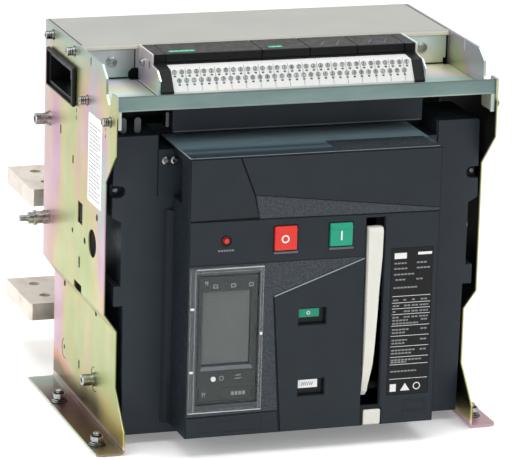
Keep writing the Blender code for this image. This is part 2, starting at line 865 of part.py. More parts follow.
def main_shaft(datum):
    """Shaft across the three poles, with a crank for each pole."""
    mesh = bmesh.new()
    centre = (MAIN_SHAFT[1], MAIN_SHAFT[2])
    add_turned(mesh, [(-182.0, 11.0), (182.0, 11.0)], "X", centre, 24)
    shaft = make_piece("main_shaft", mesh, "plain_steel", datum, origin=MAIN_SHAFT, smooth=True)
    for pole in (-POLE_PITCH, 0.0, POLE_PITCH):
        crank = prism_mesh([crank_outline(centre, 16.0, 7.0, 26.0, -70.0)], "X", pole - 6.0, pole + 6.0)
        combine(shaft, crank, "UNION")
    return shaft


def cam_shaft(datum):
    """Charging shaft with its cam and a toothed ratchet wheel."""
    centre = (CAM_SHAFT[1], CAM_SHAFT[2])
    mesh = bmesh.new()
    add_turned(mesh, [(-62.0, 8.0), (58.0, 8.0)], "X", centre, 20)
    shaft = make_piece("cam_shaft", mesh, "plain_steel", datum, origin=CAM_SHAFT, smooth=True)
    cam = []
    for step in range(28):
        angle = math.tau * step / 28
        radius = 18.0 + 8.0 * (1.0 - math.cos(angle)) / 2.0
        cam.append((centre[0] + radius * math.cos(angle), centre[1] + radius * math.sin(angle)))
    combine(shaft, prism_mesh([cam], "X", -26.0, -14.0), "UNION")
    teeth = 20
    wheel = []
    for tooth in range(teeth):
        for radius, share in ((27.0, 0.0), (23.0, 0.15)):
            angle = math.tau * (tooth + share) / teeth
            wheel.append((centre[0] + radius * math.cos(angle), centre[1] + radius * math.sin(angle)))
    combine(shaft, prism_mesh([wheel], "X", 38.0, 44.0), "UNION")
    return shaft


def closing_spring(datum):
    """Helical closing spring between its lower seat and the crosshead."""
    turns = 6
    points_per_turn = 10
    coil_radius = 15.0
    wire_radius = 3.2
    ring_sides = 5
    mesh = bmesh.new()
    total = turns * points_per_turn
    lift = SPRING_HIGH - SPRING_LOW - 2.0 * wire_radius - 1.0
    rings = []
    for step in range(total + 1):
        angle = math.tau * step / points_per_turn
        outward = Vector((math.cos(angle), math.sin(angle), 0.0))
        height = SPRING_LOW + wire_radius + 0.5 + lift * step / total
        centre = Vector((SPRING_X, SPRING_Y, height)) + outward * coil_radius
        ring = []
        for corner in range(ring_sides):
            turn = math.tau * corner / ring_sides
            rise = Vector((0.0, 0.0, wire_radius * math.sin(turn)))
            ring.append(mesh.verts.new(centre + outward * (wire_radius * math.cos(turn)) + rise))
        rings.append(ring)
    mesh.faces.new(rings[0])
    mesh.faces.new(list(reversed(rings[-1])))
    for first, second in zip(rings, rings[1:]):
        for corner in range(ring_sides):
            after = (corner + 1) % ring_sides
            mesh.faces.new((first[corner], second[corner], second[after], first[after]))
    return make_piece("closing_spring", mesh, "spring_steel", datum, smooth=True)


def spring_seat(datum):
    """Fixed cup and rod under the closing spring."""
    mesh = bmesh.new()
    profile = [(SPRING_LOW - 5.0, 20.0), (SPRING_LOW, 20.0), (SPRING_LOW, 5.0), (SPRING_HIGH - 25.0, 5.0)]
    add_turned(mesh, profile, "Z", (SPRING_X, SPRING_Y), 20)
    seat = make_piece("spring_seat", mesh, "plain_steel", datum, smooth=True)
    bar = ((-53.6, 49.6), (-104.0, -92.0), (SPRING_LOW - 12.0, SPRING_LOW - 4.0))
    combine(seat, block_mesh(bar), "UNION")
    return seat


def spring_crosshead(datum):
    """Cup on top of the closing spring that the cam pulls down."""
    mesh = bmesh.new()
    profile = [(SPRING_HIGH, 20.0), (SPRING_HIGH + 5.0, 20.0)]
    add_turned(mesh, profile, "Z", (SPRING_X, SPRING_Y), 20)
    return make_piece(
        "spring_crosshead",
        mesh,
        "plain_steel",
        datum,
        origin=(SPRING_X, SPRING_Y, SPRING_HIGH),
        smooth=True,
    )


def solenoid(name, centre_x, datum):
    """Release coil: a square yoke around a round winding with a plunger towards the front."""
    coil = make_piece(
        name,
        block_mesh(((centre_x - 17.0, centre_x + 17.0), (-136.0, -92.0), (276.0, 308.0))),
        "plain_steel",
        datum,
    )
    combine(coil, block_mesh(((centre_x - 14.0, centre_x + 14.0), (-133.0, -95.0), (270.0, 315.0))))
    winding = bmesh.new()
    add_turned(winding, [(-135.0, 13.0), (-93.0, 13.0)], "Y", (centre_x, 292.0), 20)
    combine(coil, winding, "UNION")
    plunger = bmesh.new()
    add_turned(plunger, [(-150.0, 4.0), (-130.0, 4.0)], "Y", (centre_x, 292.0), 12)
    combine(coil, plunger, "UNION")
    return coil


def charging_motor(datum):
    """Geared motor that can turn the charging shaft in place of the lever."""
    mesh = bmesh.new()
    profile = [(-50.0, 12.0), (-50.0, 19.0), (28.0, 19.0), (28.0, 8.0), (36.0, 8.0)]
    add_turned(mesh, profile, "X", (-88.0, 52.0), 24)
    return make_piece("charging_motor", mesh, "black_plastic", datum, smooth=True)


def auxiliary_contacts(datum):
    """Block of signalling contacts beside the mechanism."""
    block = make_piece(
        "auxiliary_contacts",
        block_mesh(((92.0, 124.0), (-150.0, -112.0), (180.0, 268.0))),
        "white_plastic",
        datum,
    )
    grooves = []
    for step in range(6):
        low = 190.0 + 14.0 * step
        grooves.append(((100.0, 130.0), (-152.0, -146.0), (low, low + 6.0)))
    combine(block, block_mesh(*grooves))
    return block


# ---------------------------------------------------------------- poles

def terminal_bar(name, pole, top, datum):
    """Tinned copper bar: a neck through the base and a wide pad with four holes."""
    neck_x = pole * POLE_PITCH
    pad_x = pole * PAD_PITCH
    neck = 50.0
    pad = PAD_WIDTH / 2.0
    cut = 3.0
    outline = [
        (neck_x - neck, 20.0),
        (neck_x + neck, 20.0),
        (neck_x + neck, 180.0),
        (pad_x + pad - cut, 180.0),
        (pad_x + pad, 180.0 + cut),
        (pad_x + pad, 288.0),
        (pad_x - pad, 288.0),
        (pad_x - pad, 180.0 + cut),
        (pad_x - pad + cut, 180.0),
        (neck_x - neck, 180.0),
    ]
    bar = make_piece(name, prism_mesh([outline], "Z", top - BAR_THICKNESS, top), "tinned_copper", datum)
    holes = [circle((pad_x + dx, y), 6.5, 16) for dx in (-39.0, 39.0) for y in (212.0, 260.0)]
    combine(bar, prism_mesh(holes, "Z", top - 30.0, top + 10.0))
    return bar


def moving_contact(name, pole, datum):
    """Contact arm, drawn open: it leans forward from its pin by the opening angle."""
    centre_x = pole * POLE_PITCH
    pivot = (CONTACT_PIVOT_Y, CONTACT_PIVOT_Z)
    reach = 132.0
    heading = 90.0 + math.degrees(CONTACT_OPEN_ANGLE)
    outline = crank_outline(pivot, 12.0, 12.0, reach, heading)
    arm = make_piece(
        name,
        prism_mesh([outline], "X", centre_x - 42.0, centre_x + 42.0),
        "copper",
        datum,
        origin=(centre_x, *pivot),
    )
    fingers = 5
    slots = []
    for index in range(fingers):
        x = centre_x - 42.0 + 84.0 * (index + 1) / (fingers + 1)
        slots.append(((x - 1.5, x + 1.5), (-120.0, 30.0), (98.0, 215.0)))
    combine(arm, block_mesh(*slots))
    return arm


def arc_chute(name, pole, datum):
    """Arc chute: an insulating box, open below, with a row of splitter plates."""
    centre_x = pole * POLE_PITCH
    chute = make_piece(
        name,
        block_mesh(((centre_x - 53.0, centre_x + 53.0), (6.0, 126.0), (228.0, 408.0))),
        "brown_resin",
        datum,
    )
    slots = []
    for index in range(5):
        y = 12.0 + index * 22.0
        slots.append(((centre_x - 47.0, centre_x + 47.0), (y, y + 18.0), (220.0, 396.0)))
    combine(chute, block_mesh(*slots))
    vents = []
    for index in range(3):
        x = centre_x - 40.0 + index * 30.0
        vents.append(((x, x + 20.0), (20.0, 112.0), (394.0, 412.0)))
    combine(chute, block_mesh(*vents))
    return chute


def current_transformer(name, pole, datum):
    """Measuring coil round the neck of a lower terminal."""
    centre_x = pole * POLE_PITCH
    middle = LOWER_BAR_TOP - BAR_THICKNESS / 2.0
    coil = make_piece(
        name,
        block_mesh(((centre_x - 55.0, centre_x + 55.0), (84.0, 122.0), (middle - 30.0, middle + 30.0))),
        "black_plastic",
        datum,
    )
    round_edges(coil, 4.0, 2)
    window = ((centre_x - 50.5, centre_x + 50.5), (80.0, 126.0), (middle - 10.5, middle + 10.5))
    combine(coil, block_mesh(window))
    return coil


# ---------------------------------------------------------------- side fasteners

def earth_stud(side, datum):
    """Earthing stud with its washers and nut, on the outside of a side plate."""
    profile = [
        (PLATE_OUTER + GAP, 8.0),
        (PLATE_OUTER + 6.0, 8.0),
        (PLATE_OUTER + 6.0, 7.2),
        (PLATE_OUTER + 14.0, 7.2),
        (PLATE_OUTER + 14.0, 8.6),
        (PLATE_OUTER + 17.0, 8.6),
        (PLATE_OUTER + 17.0, 6.6),
        (PLATE_OUTER + 23.0, 6.6),
        (PLATE_OUTER + 23.0, 3.6),
        (PLATE_OUTER + 33.0, 3.6),
    ]
    mesh = bmesh.new()
    add_turned(mesh, [(beside(side, along), radius) for along, radius in profile], "X", (118.0, 196.4), 16)
    return make_piece(f"earth_stud_{SIDE_NAMES[side]}", mesh, "plain_steel", datum, smooth=True)


# ---------------------------------------------------------------- assembly

def build_breaker():
    clear_scene()
    datum = bpy.data.objects.new("breaker_datum", None)
    bpy.context.collection.objects.link(datum)
    datum.location = (DATUM_SHIFT_X * MM, DATUM_SHIFT_Y * MM, 0.0)

    for side in (-1, 1):
        side_plate(side, datum)
        block_end_plate(side, datum)
        side_grip(side, datum)
        earth_stud(side, datum)
    terminal_tray(datum)
    top_cover_plate(datum)
    terminal_housing(datum)
    secondary_terminal_block(datum)
    module_covers(datum)

    rear_base_moulding(datum)
    front_base_moulding(datum)
    upper_hood(datum)
    front_cover(datum)
    rating_plate(datum)
    trip_unit(datum)
    trip_screen(datum)
    rating_plug(datum)
    trip_cover(datum)

    push_button("off_button", OFF_BUTTON, "red_plastic", datum)
    push_button("on_button", ON_BUTTON, "green_plastic", datum)
    reset_button(datum)
    charging_lever(datum)
    lever_pin(datum)
    lever_stop_block(datum)
    flag_plate("contact_flag", CONTACT_WINDOW, 20.0, "green_plastic", datum)
    flag_plate("spring_flag", SPRING_WINDOW, 20.0, "white_plastic", datum)

    mechanism_sides(datum)
    main_shaft(datum)
    cam_shaft(datum)
    closing_spring(datum)
    spring_seat(datum)
    spring_crosshead(datum)
    solenoid("closing_coil", 29.5, datum)
    solenoid("opening_coil", -33.0, datum)
    charging_motor(datum)
    auxiliary_contacts(datum)

    for number, pole in enumerate((-1, 0, 1), start=1):
        terminal_bar(f"upper_terminal_{number}", pole, UPPER_BAR_TOP, datum)
        terminal_bar(f"lower_terminal_{number}", pole, LOWER_BAR_TOP, datum)
        moving_contact(f"moving_contact_{number}", pole, datum)
        arc_chute(f"arc_chute_{number}", pole, datum)
        current_transformer(f"current_transformer_{number}", pole, datum)
    bpy.context.view_layer.update()


build_breaker()
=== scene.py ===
"""Looks of the three-pole air circuit breaker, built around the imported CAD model.

Sizes are millimetres in the breaker's own frame: X to the right seen from the front, Y to the rear
with Y = 0 at the front of the tray's rear wall, Z up from the underside of the feet.
"""

import json
import math

import bmesh
import bpy
from mathutils import Matrix, Vector


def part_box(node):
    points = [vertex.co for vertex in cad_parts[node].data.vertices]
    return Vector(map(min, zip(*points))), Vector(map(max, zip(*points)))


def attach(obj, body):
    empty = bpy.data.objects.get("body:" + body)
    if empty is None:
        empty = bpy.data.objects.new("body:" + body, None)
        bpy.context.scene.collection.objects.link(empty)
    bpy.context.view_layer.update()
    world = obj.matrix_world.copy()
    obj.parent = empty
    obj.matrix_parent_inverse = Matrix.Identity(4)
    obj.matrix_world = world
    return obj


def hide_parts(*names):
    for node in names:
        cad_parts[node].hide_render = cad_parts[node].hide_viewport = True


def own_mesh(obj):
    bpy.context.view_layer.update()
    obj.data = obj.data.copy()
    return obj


MM = 0.001
DATUM_SHIFT = Vector((1.5, -53.5, 0.0))

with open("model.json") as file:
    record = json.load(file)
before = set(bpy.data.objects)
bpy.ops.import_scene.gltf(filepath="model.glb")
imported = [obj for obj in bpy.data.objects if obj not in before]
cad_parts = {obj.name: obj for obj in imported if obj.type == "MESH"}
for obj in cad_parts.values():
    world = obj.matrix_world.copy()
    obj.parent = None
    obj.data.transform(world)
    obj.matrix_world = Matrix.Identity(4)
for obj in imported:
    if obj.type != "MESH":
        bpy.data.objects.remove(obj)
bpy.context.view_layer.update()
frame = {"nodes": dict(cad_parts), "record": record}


def box_mm(node):
    """Lowest and highest corner of a CAD node in the breaker's frame, in millimetres."""
    low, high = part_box(node)
    return low / MM - DATUM_SHIFT, high / MM - DATUM_SHIFT


# Faces that the details stand on; -1 is the left side and 1 the right
COVER_LOW, COVER_HIGH = box_mm("front_cover")
BODY_LOW = box_mm("front_base_moulding")[0]
BLOCK_LOW, BLOCK_HIGH = box_mm("secondary_terminal_block")
HOUSING_LOW, HOUSING_HIGH = box_mm("terminal_housing")
MODULE_TOP = box_mm("module_cover_1")[1].z
MODULE_FRONT = -50.0
TOP_PLATE_TOP = box_mm("top_cover_plate")[1].z
TRAY_WALL = 0.0
TRAY_FLOOR = 381.0
FLAG_FACE = -168.5
PLATE_FACE = {-1: -217.0, 1: 214.0}
FOOT_FACE = {-1: -203.0, 1: 200.0}
FOOT_TOP = 2.5
END_PLATE_FACE = {-1: box_mm("block_end_plate_left")[0].x, 1: box_mm("block_end_plate_right")[1].x}

# Travel of the flags
FLAG_TRAVEL = 20.0

# ---------------- drawing planes and meshes

class Plane:
    """A drawing plane: a point is (u, v) along right and up, and a height along the outward normal."""

    def __init__(self, origin, right, up):
        self.origin = Vector(origin)
        self.right = Vector(right).normalized()
        self.up = Vector(up).normalized()
        self.out = self.right.cross(self.up)

    def point(self, u, v, height=0.0):
        return self.origin + self.right * u + self.up * v + self.out * height


def front_plane(y):
    """Plane that faces the operator: u is X and v is Z."""
    return Plane((0.0, y, 0.0), (1, 0, 0), (0, 0, 1))


def top_plane(z):
    """Plane that faces up: u is X and v is Y."""
    return Plane((0.0, 0.0, z), (1, 0, 0), (0, 1, 0))


def side_plane(side, x):
    """Plane that faces outward on one side: u is Y times the side's sign and v is Z."""
    return Plane((x, 0.0, 0.0), (0, side, 0), (0, 0, 1))


def terminal_face():
    """Sloping face of the white terminal block: u is X and v runs up the slope."""
    return Plane((0.0, -83.0, 383.5), (1, 0, 0), (0, 13.0, 21.0))


def rectangle(u_low, u_high, v_low, v_high):
    return [(u_low, v_low), (u_high, v_low), (u_high, v_high), (u_low, v_high)]


def rounded_rectangle(u_low, u_high, v_low, v_high, radius, steps=4):
    corners = [
        (u_high - radius, v_low + radius, -90),
        (u_high - radius, v_high - radius, 0),
        (u_low + radius, v_high - radius, 90),
        (u_low + radius, v_low + radius, 180),
    ]
    points = []
    for centre_u, centre_v, start in corners:
        for step in range(steps + 1):
            angle = math.radians(start + 90.0 * step / steps)
            points.append((centre_u + radius * math.cos(angle), centre_v + radius * math.sin(angle)))
    return points


def disc(u, v, radius, sides=20, turn=0.0):
    points = []
    for index in range(sides):
        angle = turn + math.tau * index / sides
        points.append((u + radius * math.cos(angle), v + radius * math.sin(angle)))
    return points


def add_prism(mesh, plane, outline, low, high):
    """Add a closed prism whose outline lies in a plane."""
    bottom = [mesh.verts.new(plane.point(u, v, low)) for u, v in outline]
    top = [mesh.verts.new(plane.point(u, v, high)) for u, v in outline]
    mesh.faces.new(list(reversed(bottom)))
    mesh.faces.new(top)
    for index in range(len(outline)):
        after = (index + 1) % len(outline)
        mesh.faces.new((bottom[index], bottom[after], top[after], top[index]))


def prisms(plane, outlines, low, high):
    """New mesh with one closed prism for each outline."""
    mesh = bmesh.new()
    for outline in outlines:
        add_prism(mesh, plane, outline, low, high)
    return mesh


def add_bar(mesh, plane, region, low, high):
    """Add a closed bar over a region given as (u_low, u_high, v_low, v_high)."""
    add_prism(mesh, plane, rectangle(*region), low, high)


def add_frame(mesh, plane, outer, inner, low, high):
    """Add a rectangular frame as four bars; outer and inner are (u_low, u_high, v_low, v_high)."""
    bars = [
        (outer[0], outer[1], outer[2], inner[2]),
        (outer[0], outer[1], inner[3], outer[3]),
        (outer[0], inner[0], inner[2], inner[3]),
        (inner[1], outer[1], inner[2], inner[3]),
    ]
    for bar in bars:
        add_bar(mesh, plane, bar, low, high)


def add_turned(mesh, plane, centre, profile, sides=24):
    """Add a closed body turned about the plane's normal; the profile lists (height, radius)."""
    rings = []
    for height, radius in profile:
        rings.append([mesh.verts.new(plane.point(u, v, height)) for u, v in disc(*centre, radius, sides)])
    mesh.faces.new(list(reversed(rings[0])))
    mesh.faces.new(rings[-1])
    for first, second in zip(rings, rings[1:]):
        for index in range(sides):
            after = (index + 1) % sides
            mesh.faces.new((first[index], first[after], second[after], second[index]))


def add_ring(mesh, plane, centre, inner, outer, low, high, sides=28):
    """Add a flat ring with a square section."""
    loops = []
    for radius, height in ((outer, low), (outer, high), (inner, high), (inner, low)):
        loops.append([mesh.verts.new(plane.point(u, v, height)) for u, v in disc(*centre, radius, sides)])
    for first, second in zip(loops, loops[1:] + loops[:1]):
        for index in range(sides):
            after = (index + 1) % sides
            mesh.faces.new((first[index], first[after], second[after], second[index]))


def new_object(name, data):
    """Put a new object into the scene."""
    result = bpy.data.objects.new(name, data)
    bpy.context.scene.collection.objects.link(result)
    return result


def mesh_object(name, mesh):
    """Turn a mesh in the breaker's millimetres into an object in the scene's metres."""
    bmesh.ops.recalc_face_normals(mesh, faces=mesh.faces[:])
    for vertex in mesh.verts:
        vertex.co = (vertex.co + DATUM_SHIFT) * MM
    data = bpy.data.meshes.new(name)
    mesh.to_mesh(data)
    mesh.free()
    return new_object(name, data)


def make_piece(name, mesh, slot, look=None, body="frame", bevel=0.0, smooth=False):
    """Turn a mesh into a piece that rides on a body; its look is its slot's unless one is given."""
    piece = mesh_object(name, mesh)
    piece.data.materials.append(look or LOOKS[slot])
    if bevel:
        add_bevel(piece, bevel)
    if smooth:
        shade_by_angle(piece)
    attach(piece, body)
    return piece


def add_bevel(piece, width, segments=2):
    modifier = piece.modifiers.new("edge_rounding", "BEVEL")
    modifier.width = width * MM
    modifier.segments = segments
    modifier.limit_method = "ANGLE"
    modifier.angle_limit = math.radians(35.0)
    modifier.use_clamp_overlap = True


def shade_by_angle(piece, degrees=32.0):
    """Smooth shading that keeps the sharp edges."""
    mesh = bmesh.new()
    mesh.from_mesh(piece.data)
    for face in mesh.faces:
        face.smooth = True
    for edge in mesh.edges:
        edge.smooth = len(edge.link_faces) != 2 or edge.calc_face_angle(0.0) < math.radians(degrees)
    mesh.to_mesh(piece.data)
    mesh.free()


def cut(piece, plane, outlines, low, high):
    """Cut prisms out of a piece with one Boolean, and keep the result as its mesh."""
    cutter = mesh_object("cutter", prisms(plane, outlines, low, high))
    modifier = piece.modifiers.new("cut", "BOOLEAN")
    modifier.operation = "DIFFERENCE"
    modifier.solver = "EXACT"
    modifier.object = cutter
    bpy.context.view_layer.update()
    evaluated = piece.evaluated_get(bpy.context.evaluated_depsgraph_get())
    result = bpy.data.meshes.new_from_object(evaluated)
    piece.modifiers.remove(modifier)
    piece.data = result
    bpy.data.objects.remove(cutter)


# ---------------- materials

# Spark-eroded grain of the moulded plastics: cells per metre, and depth in metres
MOULD_GRAIN = 2600.0
MOULD_DEPTH = 0.00008

def linear(colour, factor=1.0):
    """Scene colour of an sRGB colour given in 0 to 255, made brighter or darker by a factor."""
    channels = []
    for value in colour:
        share = value / 255.0
        channel = share / 12.92 if share <= 0.04045 else ((share + 0.055) / 1.055) ** 2.4
        channels.append(min(1.0, channel * factor))
    return (*channels, 1.0)


class Look:
    """A material under construction: its node tree, its shader and the object coordinates."""

    def __init__(self, name, roughness, metallic=0.0, specular=0.5):
        self.material = bpy.data.materials.new(name)
        self.material.use_nodes = True
        self.tree = self.material.node_tree
        self.shader = self.tree.nodes["Principled BSDF"]
        self.set("Roughness", roughness)
        self.set("Metallic", metallic)
        self.set("Specular IOR Level", specular)
        self.coordinates = self.node("TexCoord", {}).outputs["Object"]

    def feed(self, socket, value):
        """Link an input to another node's output, or give it a fixed value."""
        if isinstance(value, bpy.types.NodeSocket):
            self.tree.links.new(value, socket)
        else:
            socket.default_value = value

    def set(self, name, value):
        """Feed one input of the shader."""
        self.feed(self.shader.inputs[name], value)

    def node(self, kind, inputs):
        """Add a shader node and feed its inputs, given by name or number."""
        node = self.tree.nodes.new(f"ShaderNode{kind}")
        for key, value in inputs.items():
            self.feed(node.inputs[key], value)
        return node

    def noise(self, scale, detail=2.0, stretch=(1.0, 1.0, 1.0), offset=(0.0, 0.0, 0.0)):
        """Noise value; scale is in cells per metre and stretch multiplies it along each axis."""
        inputs = {"Scale": stretch, "Location": offset, "Vector": self.coordinates}
        place = self.node("Mapping", inputs).outputs["Vector"]
        inputs = {"Scale": scale, "Detail": detail, "Vector": place}
        return self.node("TexNoise", inputs).outputs["Fac"]

    def cells(self, scale):
        """Distance to the nearest cell centre of a Voronoi pattern."""
        inputs = {"Scale": scale, "Vector": self.coordinates}
        return self.node("TexVoronoi", inputs).outputs["Distance"]

    def axis(self, name):
        """One object coordinate, in metres."""
        return self.node("SeparateXYZ", {"Vector": self.coordinates}).outputs[name]

    def span(self, value, from_low, from_high, to_low=0.0, to_high=1.0):
        """Value mapped from one range onto another, and held at its ends."""
        inputs = {"From Min": from_low, "From Max": from_high, "To Min": to_low, "To Max": to_high}
        return self.node("MapRange", {"Value": value, **inputs}).outputs["Result"]

    def math(self, operation, first, second):
        node = self.node("Math", {0: first, 1: second})
        node.operation = operation
        return node.outputs["Value"]

    def ramp(self, value, stops):
        """Colour of a value through a ramp; a stop is (position, colour) or (position, colour, factor)."""
        node = self.node("ValToRGB", {"Fac": value})
        elements = node.color_ramp.elements
        while len(elements) < len(stops):
            elements.new(0.5)
        for element, (position, *colour) in zip(elements, stops):
            element.position = position
            element.color = linear(*colour)
        return node.outputs["Color"]

    def mix(self, share, first, second):
        """Blend of two colours; each is a socket or a fixed colour."""
        node = self.node("Mix", {"Factor": share})
        node.data_type = "RGBA"
        for key, value in ((6, first), (7, second)):
            self.feed(node.inputs[key], linear(value) if isinstance(value, tuple) else value)
        return node.outputs[2]

    def colour(self, output):
        self.set("Base Color", output)

    def roughness(self, value, low, high):
        self.set("Roughness", self.span(value, 0.3, 0.7, low, high))

    def bump(self, height, strength, distance):
        node = self.node("Bump", {"Strength": strength, "Distance": distance, "Height": height})
        self.set("Normal", node.outputs["Normal"])


def plastic(name, colour, roughness, specular, contrast=0.08):
    """Moulded plastic: fine spark-eroded grain, slight shade variation and uneven gloss."""
    look = Look(name, roughness, specular=specular)
    shade = look.noise(35.0, 3.0)
    look.colour(look.ramp(shade, [(0.3, colour, 1.0 - contrast), (0.7, colour, 1.0 + contrast)]))
    look.roughness(look.noise(120.0, 2.0, offset=(3.0, 1.0, 2.0)), roughness - 0.05, roughness + 0.07)
    look.bump(look.noise(MOULD_GRAIN, 2.0), 0.25, MOULD_DEPTH)
    return look.material


def textured_plastic(name, dark, light):
    """Coarse leather-like moulding: pale flat islands between darker valleys."""
    look = Look(name, 0.55, specular=0.25)
    cells = look.cells(620.0)
    speckle = look.noise(900.0, 2.0)
    height = look.math("ADD", look.span(cells, 0.0, 0.8), speckle)
    look.colour(look.ramp(look.span(height, 0.6, 1.25), [(0.0, dark), (1.0, light)]))
    look.bump(height, 0.6, 0.0004)
    return look.material


def upright_film(look):
    """Colour of the large faces: soft upright bands of pink, peach, straw and green."""
    bands = look.noise(10.0, 2.0, stretch=(1.0, 1.0, 0.32), offset=(0.35, 0.1, 0.62))
    streaks = look.noise(60.0, 3.0, stretch=(1.0, 1.0, 0.06))
    value = look.math("ADD", bands, look.span(streaks, 0.0, 1.0, -0.05, 0.05))
    return look.ramp(value, [
        (0.28, (156, 178, 164)),
        (0.34, (188, 152, 172)),
        (0.39, (192, 166, 136)),
        (0.44, (182, 176, 122)),
        (0.52, (166, 178, 120)),
        (0.62, (184, 176, 122)),
        (0.70, (192, 158, 142)),
        (0.77, (186, 148, 172)),
    ])


def foot_film(look, slope, depth):
    """Colour just above the bend of the foot: dark at the bottom, then orange or straw."""
    step = look.span(slope, 0.004, 0.044)
    rear_film = look.ramp(step, [
        (0.05, (104, 92, 62)),
        (0.30, (112, 92, 62)),
        (0.55, (196, 132, 96)),
        (0.90, (208, 168, 158)),
    ])
    front_film = look.ramp(step, [
        (0.05, (132, 122, 74)),
        (0.28, (84, 82, 58)),
        (0.55, (124, 118, 76)),
        (0.90, (190, 180, 120)),
    ])
    low_film = look.mix(look.span(depth, 0.040, -0.010), rear_film, front_film)
    return look.mix(look.span(depth, -0.095, -0.135), low_film, (190, 176, 106))


def flange_film(look, depth, distance):
    """Colour of the foot flange: brown in the middle, grey to the rear, with a painted highlight at its rim.
    """
    flange = look.ramp(look.span(depth, 0.084, -0.200), [
        (0.02, (172, 188, 182)),
        (0.16, (140, 142, 138)),
        (0.28, (104, 72, 80)),
        (0.55, (88, 58, 58)),
        (0.75, (92, 70, 50)),
        (0.90, (84, 76, 52)),
        (0.99, (140, 128, 104)),
    ])
    flange = look.mix(look.span(look.axis("X"), 0.10, 0.12), flange, (190, 158, 166))
    # painted highlight along the flange's outer edge
    return look.mix(look.span(distance, 0.2298, 0.2304), flange, (200, 206, 188))


def inner_film_and_shade(look, film, height, distance):
    """Inner faces of the plates: painted shade between the mouldings, pastel above the tray's floor."""
    face = look.span(height, 0.1276, 0.1474, 0.2015, 0.2155)
    inner = look.span(look.math("SUBTRACT", face, distance), 0.0009, 0.0017)
    # painted shade on the inner faces, below the tray's floor and above the foot
    shaded = look.math("MULTIPLY", inner, look.span(height, 0.376, 0.372))
    shaded = look.math("MULTIPLY", shaded, look.span(height, 0.004, 0.030))
    upper = look.math("MULTIPLY", inner, look.span(height, 0.378, 0.384))
    pastel = look.ramp(look.noise(11.0, 1.0), [
        (0.36, (160, 182, 174)),
        (0.47, (178, 186, 196)),
        (0.55, (190, 176, 190)),
        (0.66, (184, 196, 160)),
    ])
    film = look.mix(upper, film, pastel)
    return look.mix(shaded, film, (34, 38, 30))


def yellow_zinc():
    """Yellow chromate over zinc, which changes towards the foot and the flange, with a painted highlight
    along the bend and painted shade on the inner face.
    """
    look = Look("yellow_zinc_look", 0.34, metallic=0.82)
    height = look.axis("Z")
    depth = look.axis("Y")
    distance = look.math("ABSOLUTE", look.axis("X"), 0.0)
    film = upright_film(look)
    film = look.mix(look.span(depth, 0.045, 0.086), film, (204, 176, 186))
    film = look.mix(look.span(height, 0.385, 0.425), film, (150, 172, 166))
    slope = look.math("SUBTRACT", height, look.math("MULTIPLY", depth, 0.03))
    slope = look.math("ADD", slope, look.span(look.noise(14.0, 1.0), 0.3, 0.7, -0.008, 0.008))
    film = look.mix(look.span(slope, 0.034, 0.048), foot_film(look, slope, depth), film)
    flange = flange_film(look, depth, distance)
    # painted highlight along the bend of the foot
    bend = look.mix(look.span(height, 0.0045, 0.0065), flange, (222, 196, 176))
    film = look.mix(look.span(height, 0.0075, 0.0110), bend, film)
    look.colour(inner_film_and_shade(look, film, height, distance))
    look.roughness(look.noise(25.0, 3.0), 0.28, 0.42)
    look.bump(look.noise(700.0, 3.0, stretch=(1.0, 1.0, 0.2)), 0.08, 0.0002)
    return look.material


def clear_zinc():
    """Bright zinc sheet with faint pastel patches, painted shade in the corners, and darker on the crossbar.
    """
    look = Look("clear_zinc_look", 0.34, metallic=0.4)
    patches = look.noise(9.0, 1.0, stretch=(0.6, 1.0, 1.0))
    film = look.ramp(patches, [
        (0.34, (160, 192, 176)),
        (0.44, (222, 236, 236)),
        (0.50, (222, 224, 192)),
        (0.56, (214, 198, 212)),
        (0.66, (158, 190, 182)),
    ])
    across = look.axis("X")
    left_corner_shade = look.math("MULTIPLY", look.span(across, -0.176, -0.158), look.span(across, -0.148, -0.153))
    right_corner_shade = look.span(across, 0.186, 0.208)
    # painted shade darkens the tray's left and right corners
    film = look.mix(look.math("MULTIPLY", left_corner_shade, 0.6), film, (96, 124, 108))
    film = look.mix(look.math("MULTIPLY", right_corner_shade, 0.45), film, (150, 156, 108))
    height = look.axis("Z")
    bar = look.ramp(look.noise(26.0, 3.0, stretch=(0.3, 1.0, 1.0)), [
        (0.35, (96, 118, 116)),
        (0.55, (114, 136, 132)),
        (0.72, (128, 142, 142)),
    ])
    bar = look.mix(look.span(height, 0.3945, 0.3958), bar, (88, 98, 96))
    bar = look.mix(look.span(height, 0.3815, 0.3800), bar, (176, 190, 180))
    look.colour(look.mix(look.span(look.axis("Y"), -0.1962, -0.1970), film, bar))
    look.roughness(look.noise(30.0, 2.0), 0.28, 0.4)
    look.bump(look.noise(500.0, 3.0, stretch=(0.15, 1.0, 1.0)), 0.04, 0.0002)
    return look.material


def plated_steel(name, colour, roughness=0.28):
    """Turned or pressed steel part with bright plating."""
    look = Look(name, roughness, metallic=1.0)
    stain = look.noise(180.0, 3.0)
    look.colour(look.ramp(stain, [(0.35, colour, 0.55), (0.65, colour, 1.15)]))
    look.roughness(look.noise(300.0, 2.0), roughness - 0.08, roughness + 0.12)
    look.bump(look.noise(1500.0, 2.0), 0.08, 0.0001)
    return look.material


def tinned_bar():
    """Matt tin over copper, with faint rolling lines and handling stains."""
    look = Look("tinned_bar_look", 0.45, metallic=0.65)
    stain = look.noise(40.0, 4.0, stretch=(1.0, 0.5, 1.0))
    look.colour(look.ramp(stain, [
        (0.30, (206, 196, 182)),
        (0.50, (228, 220, 208)),
        (0.72, (220, 214, 208)),
    ]))
    look.roughness(stain, 0.36, 0.55)
    look.bump(look.noise(800.0, 3.0, stretch=(1.0, 0.1, 1.0)), 0.12, 0.0002)
    return look.material


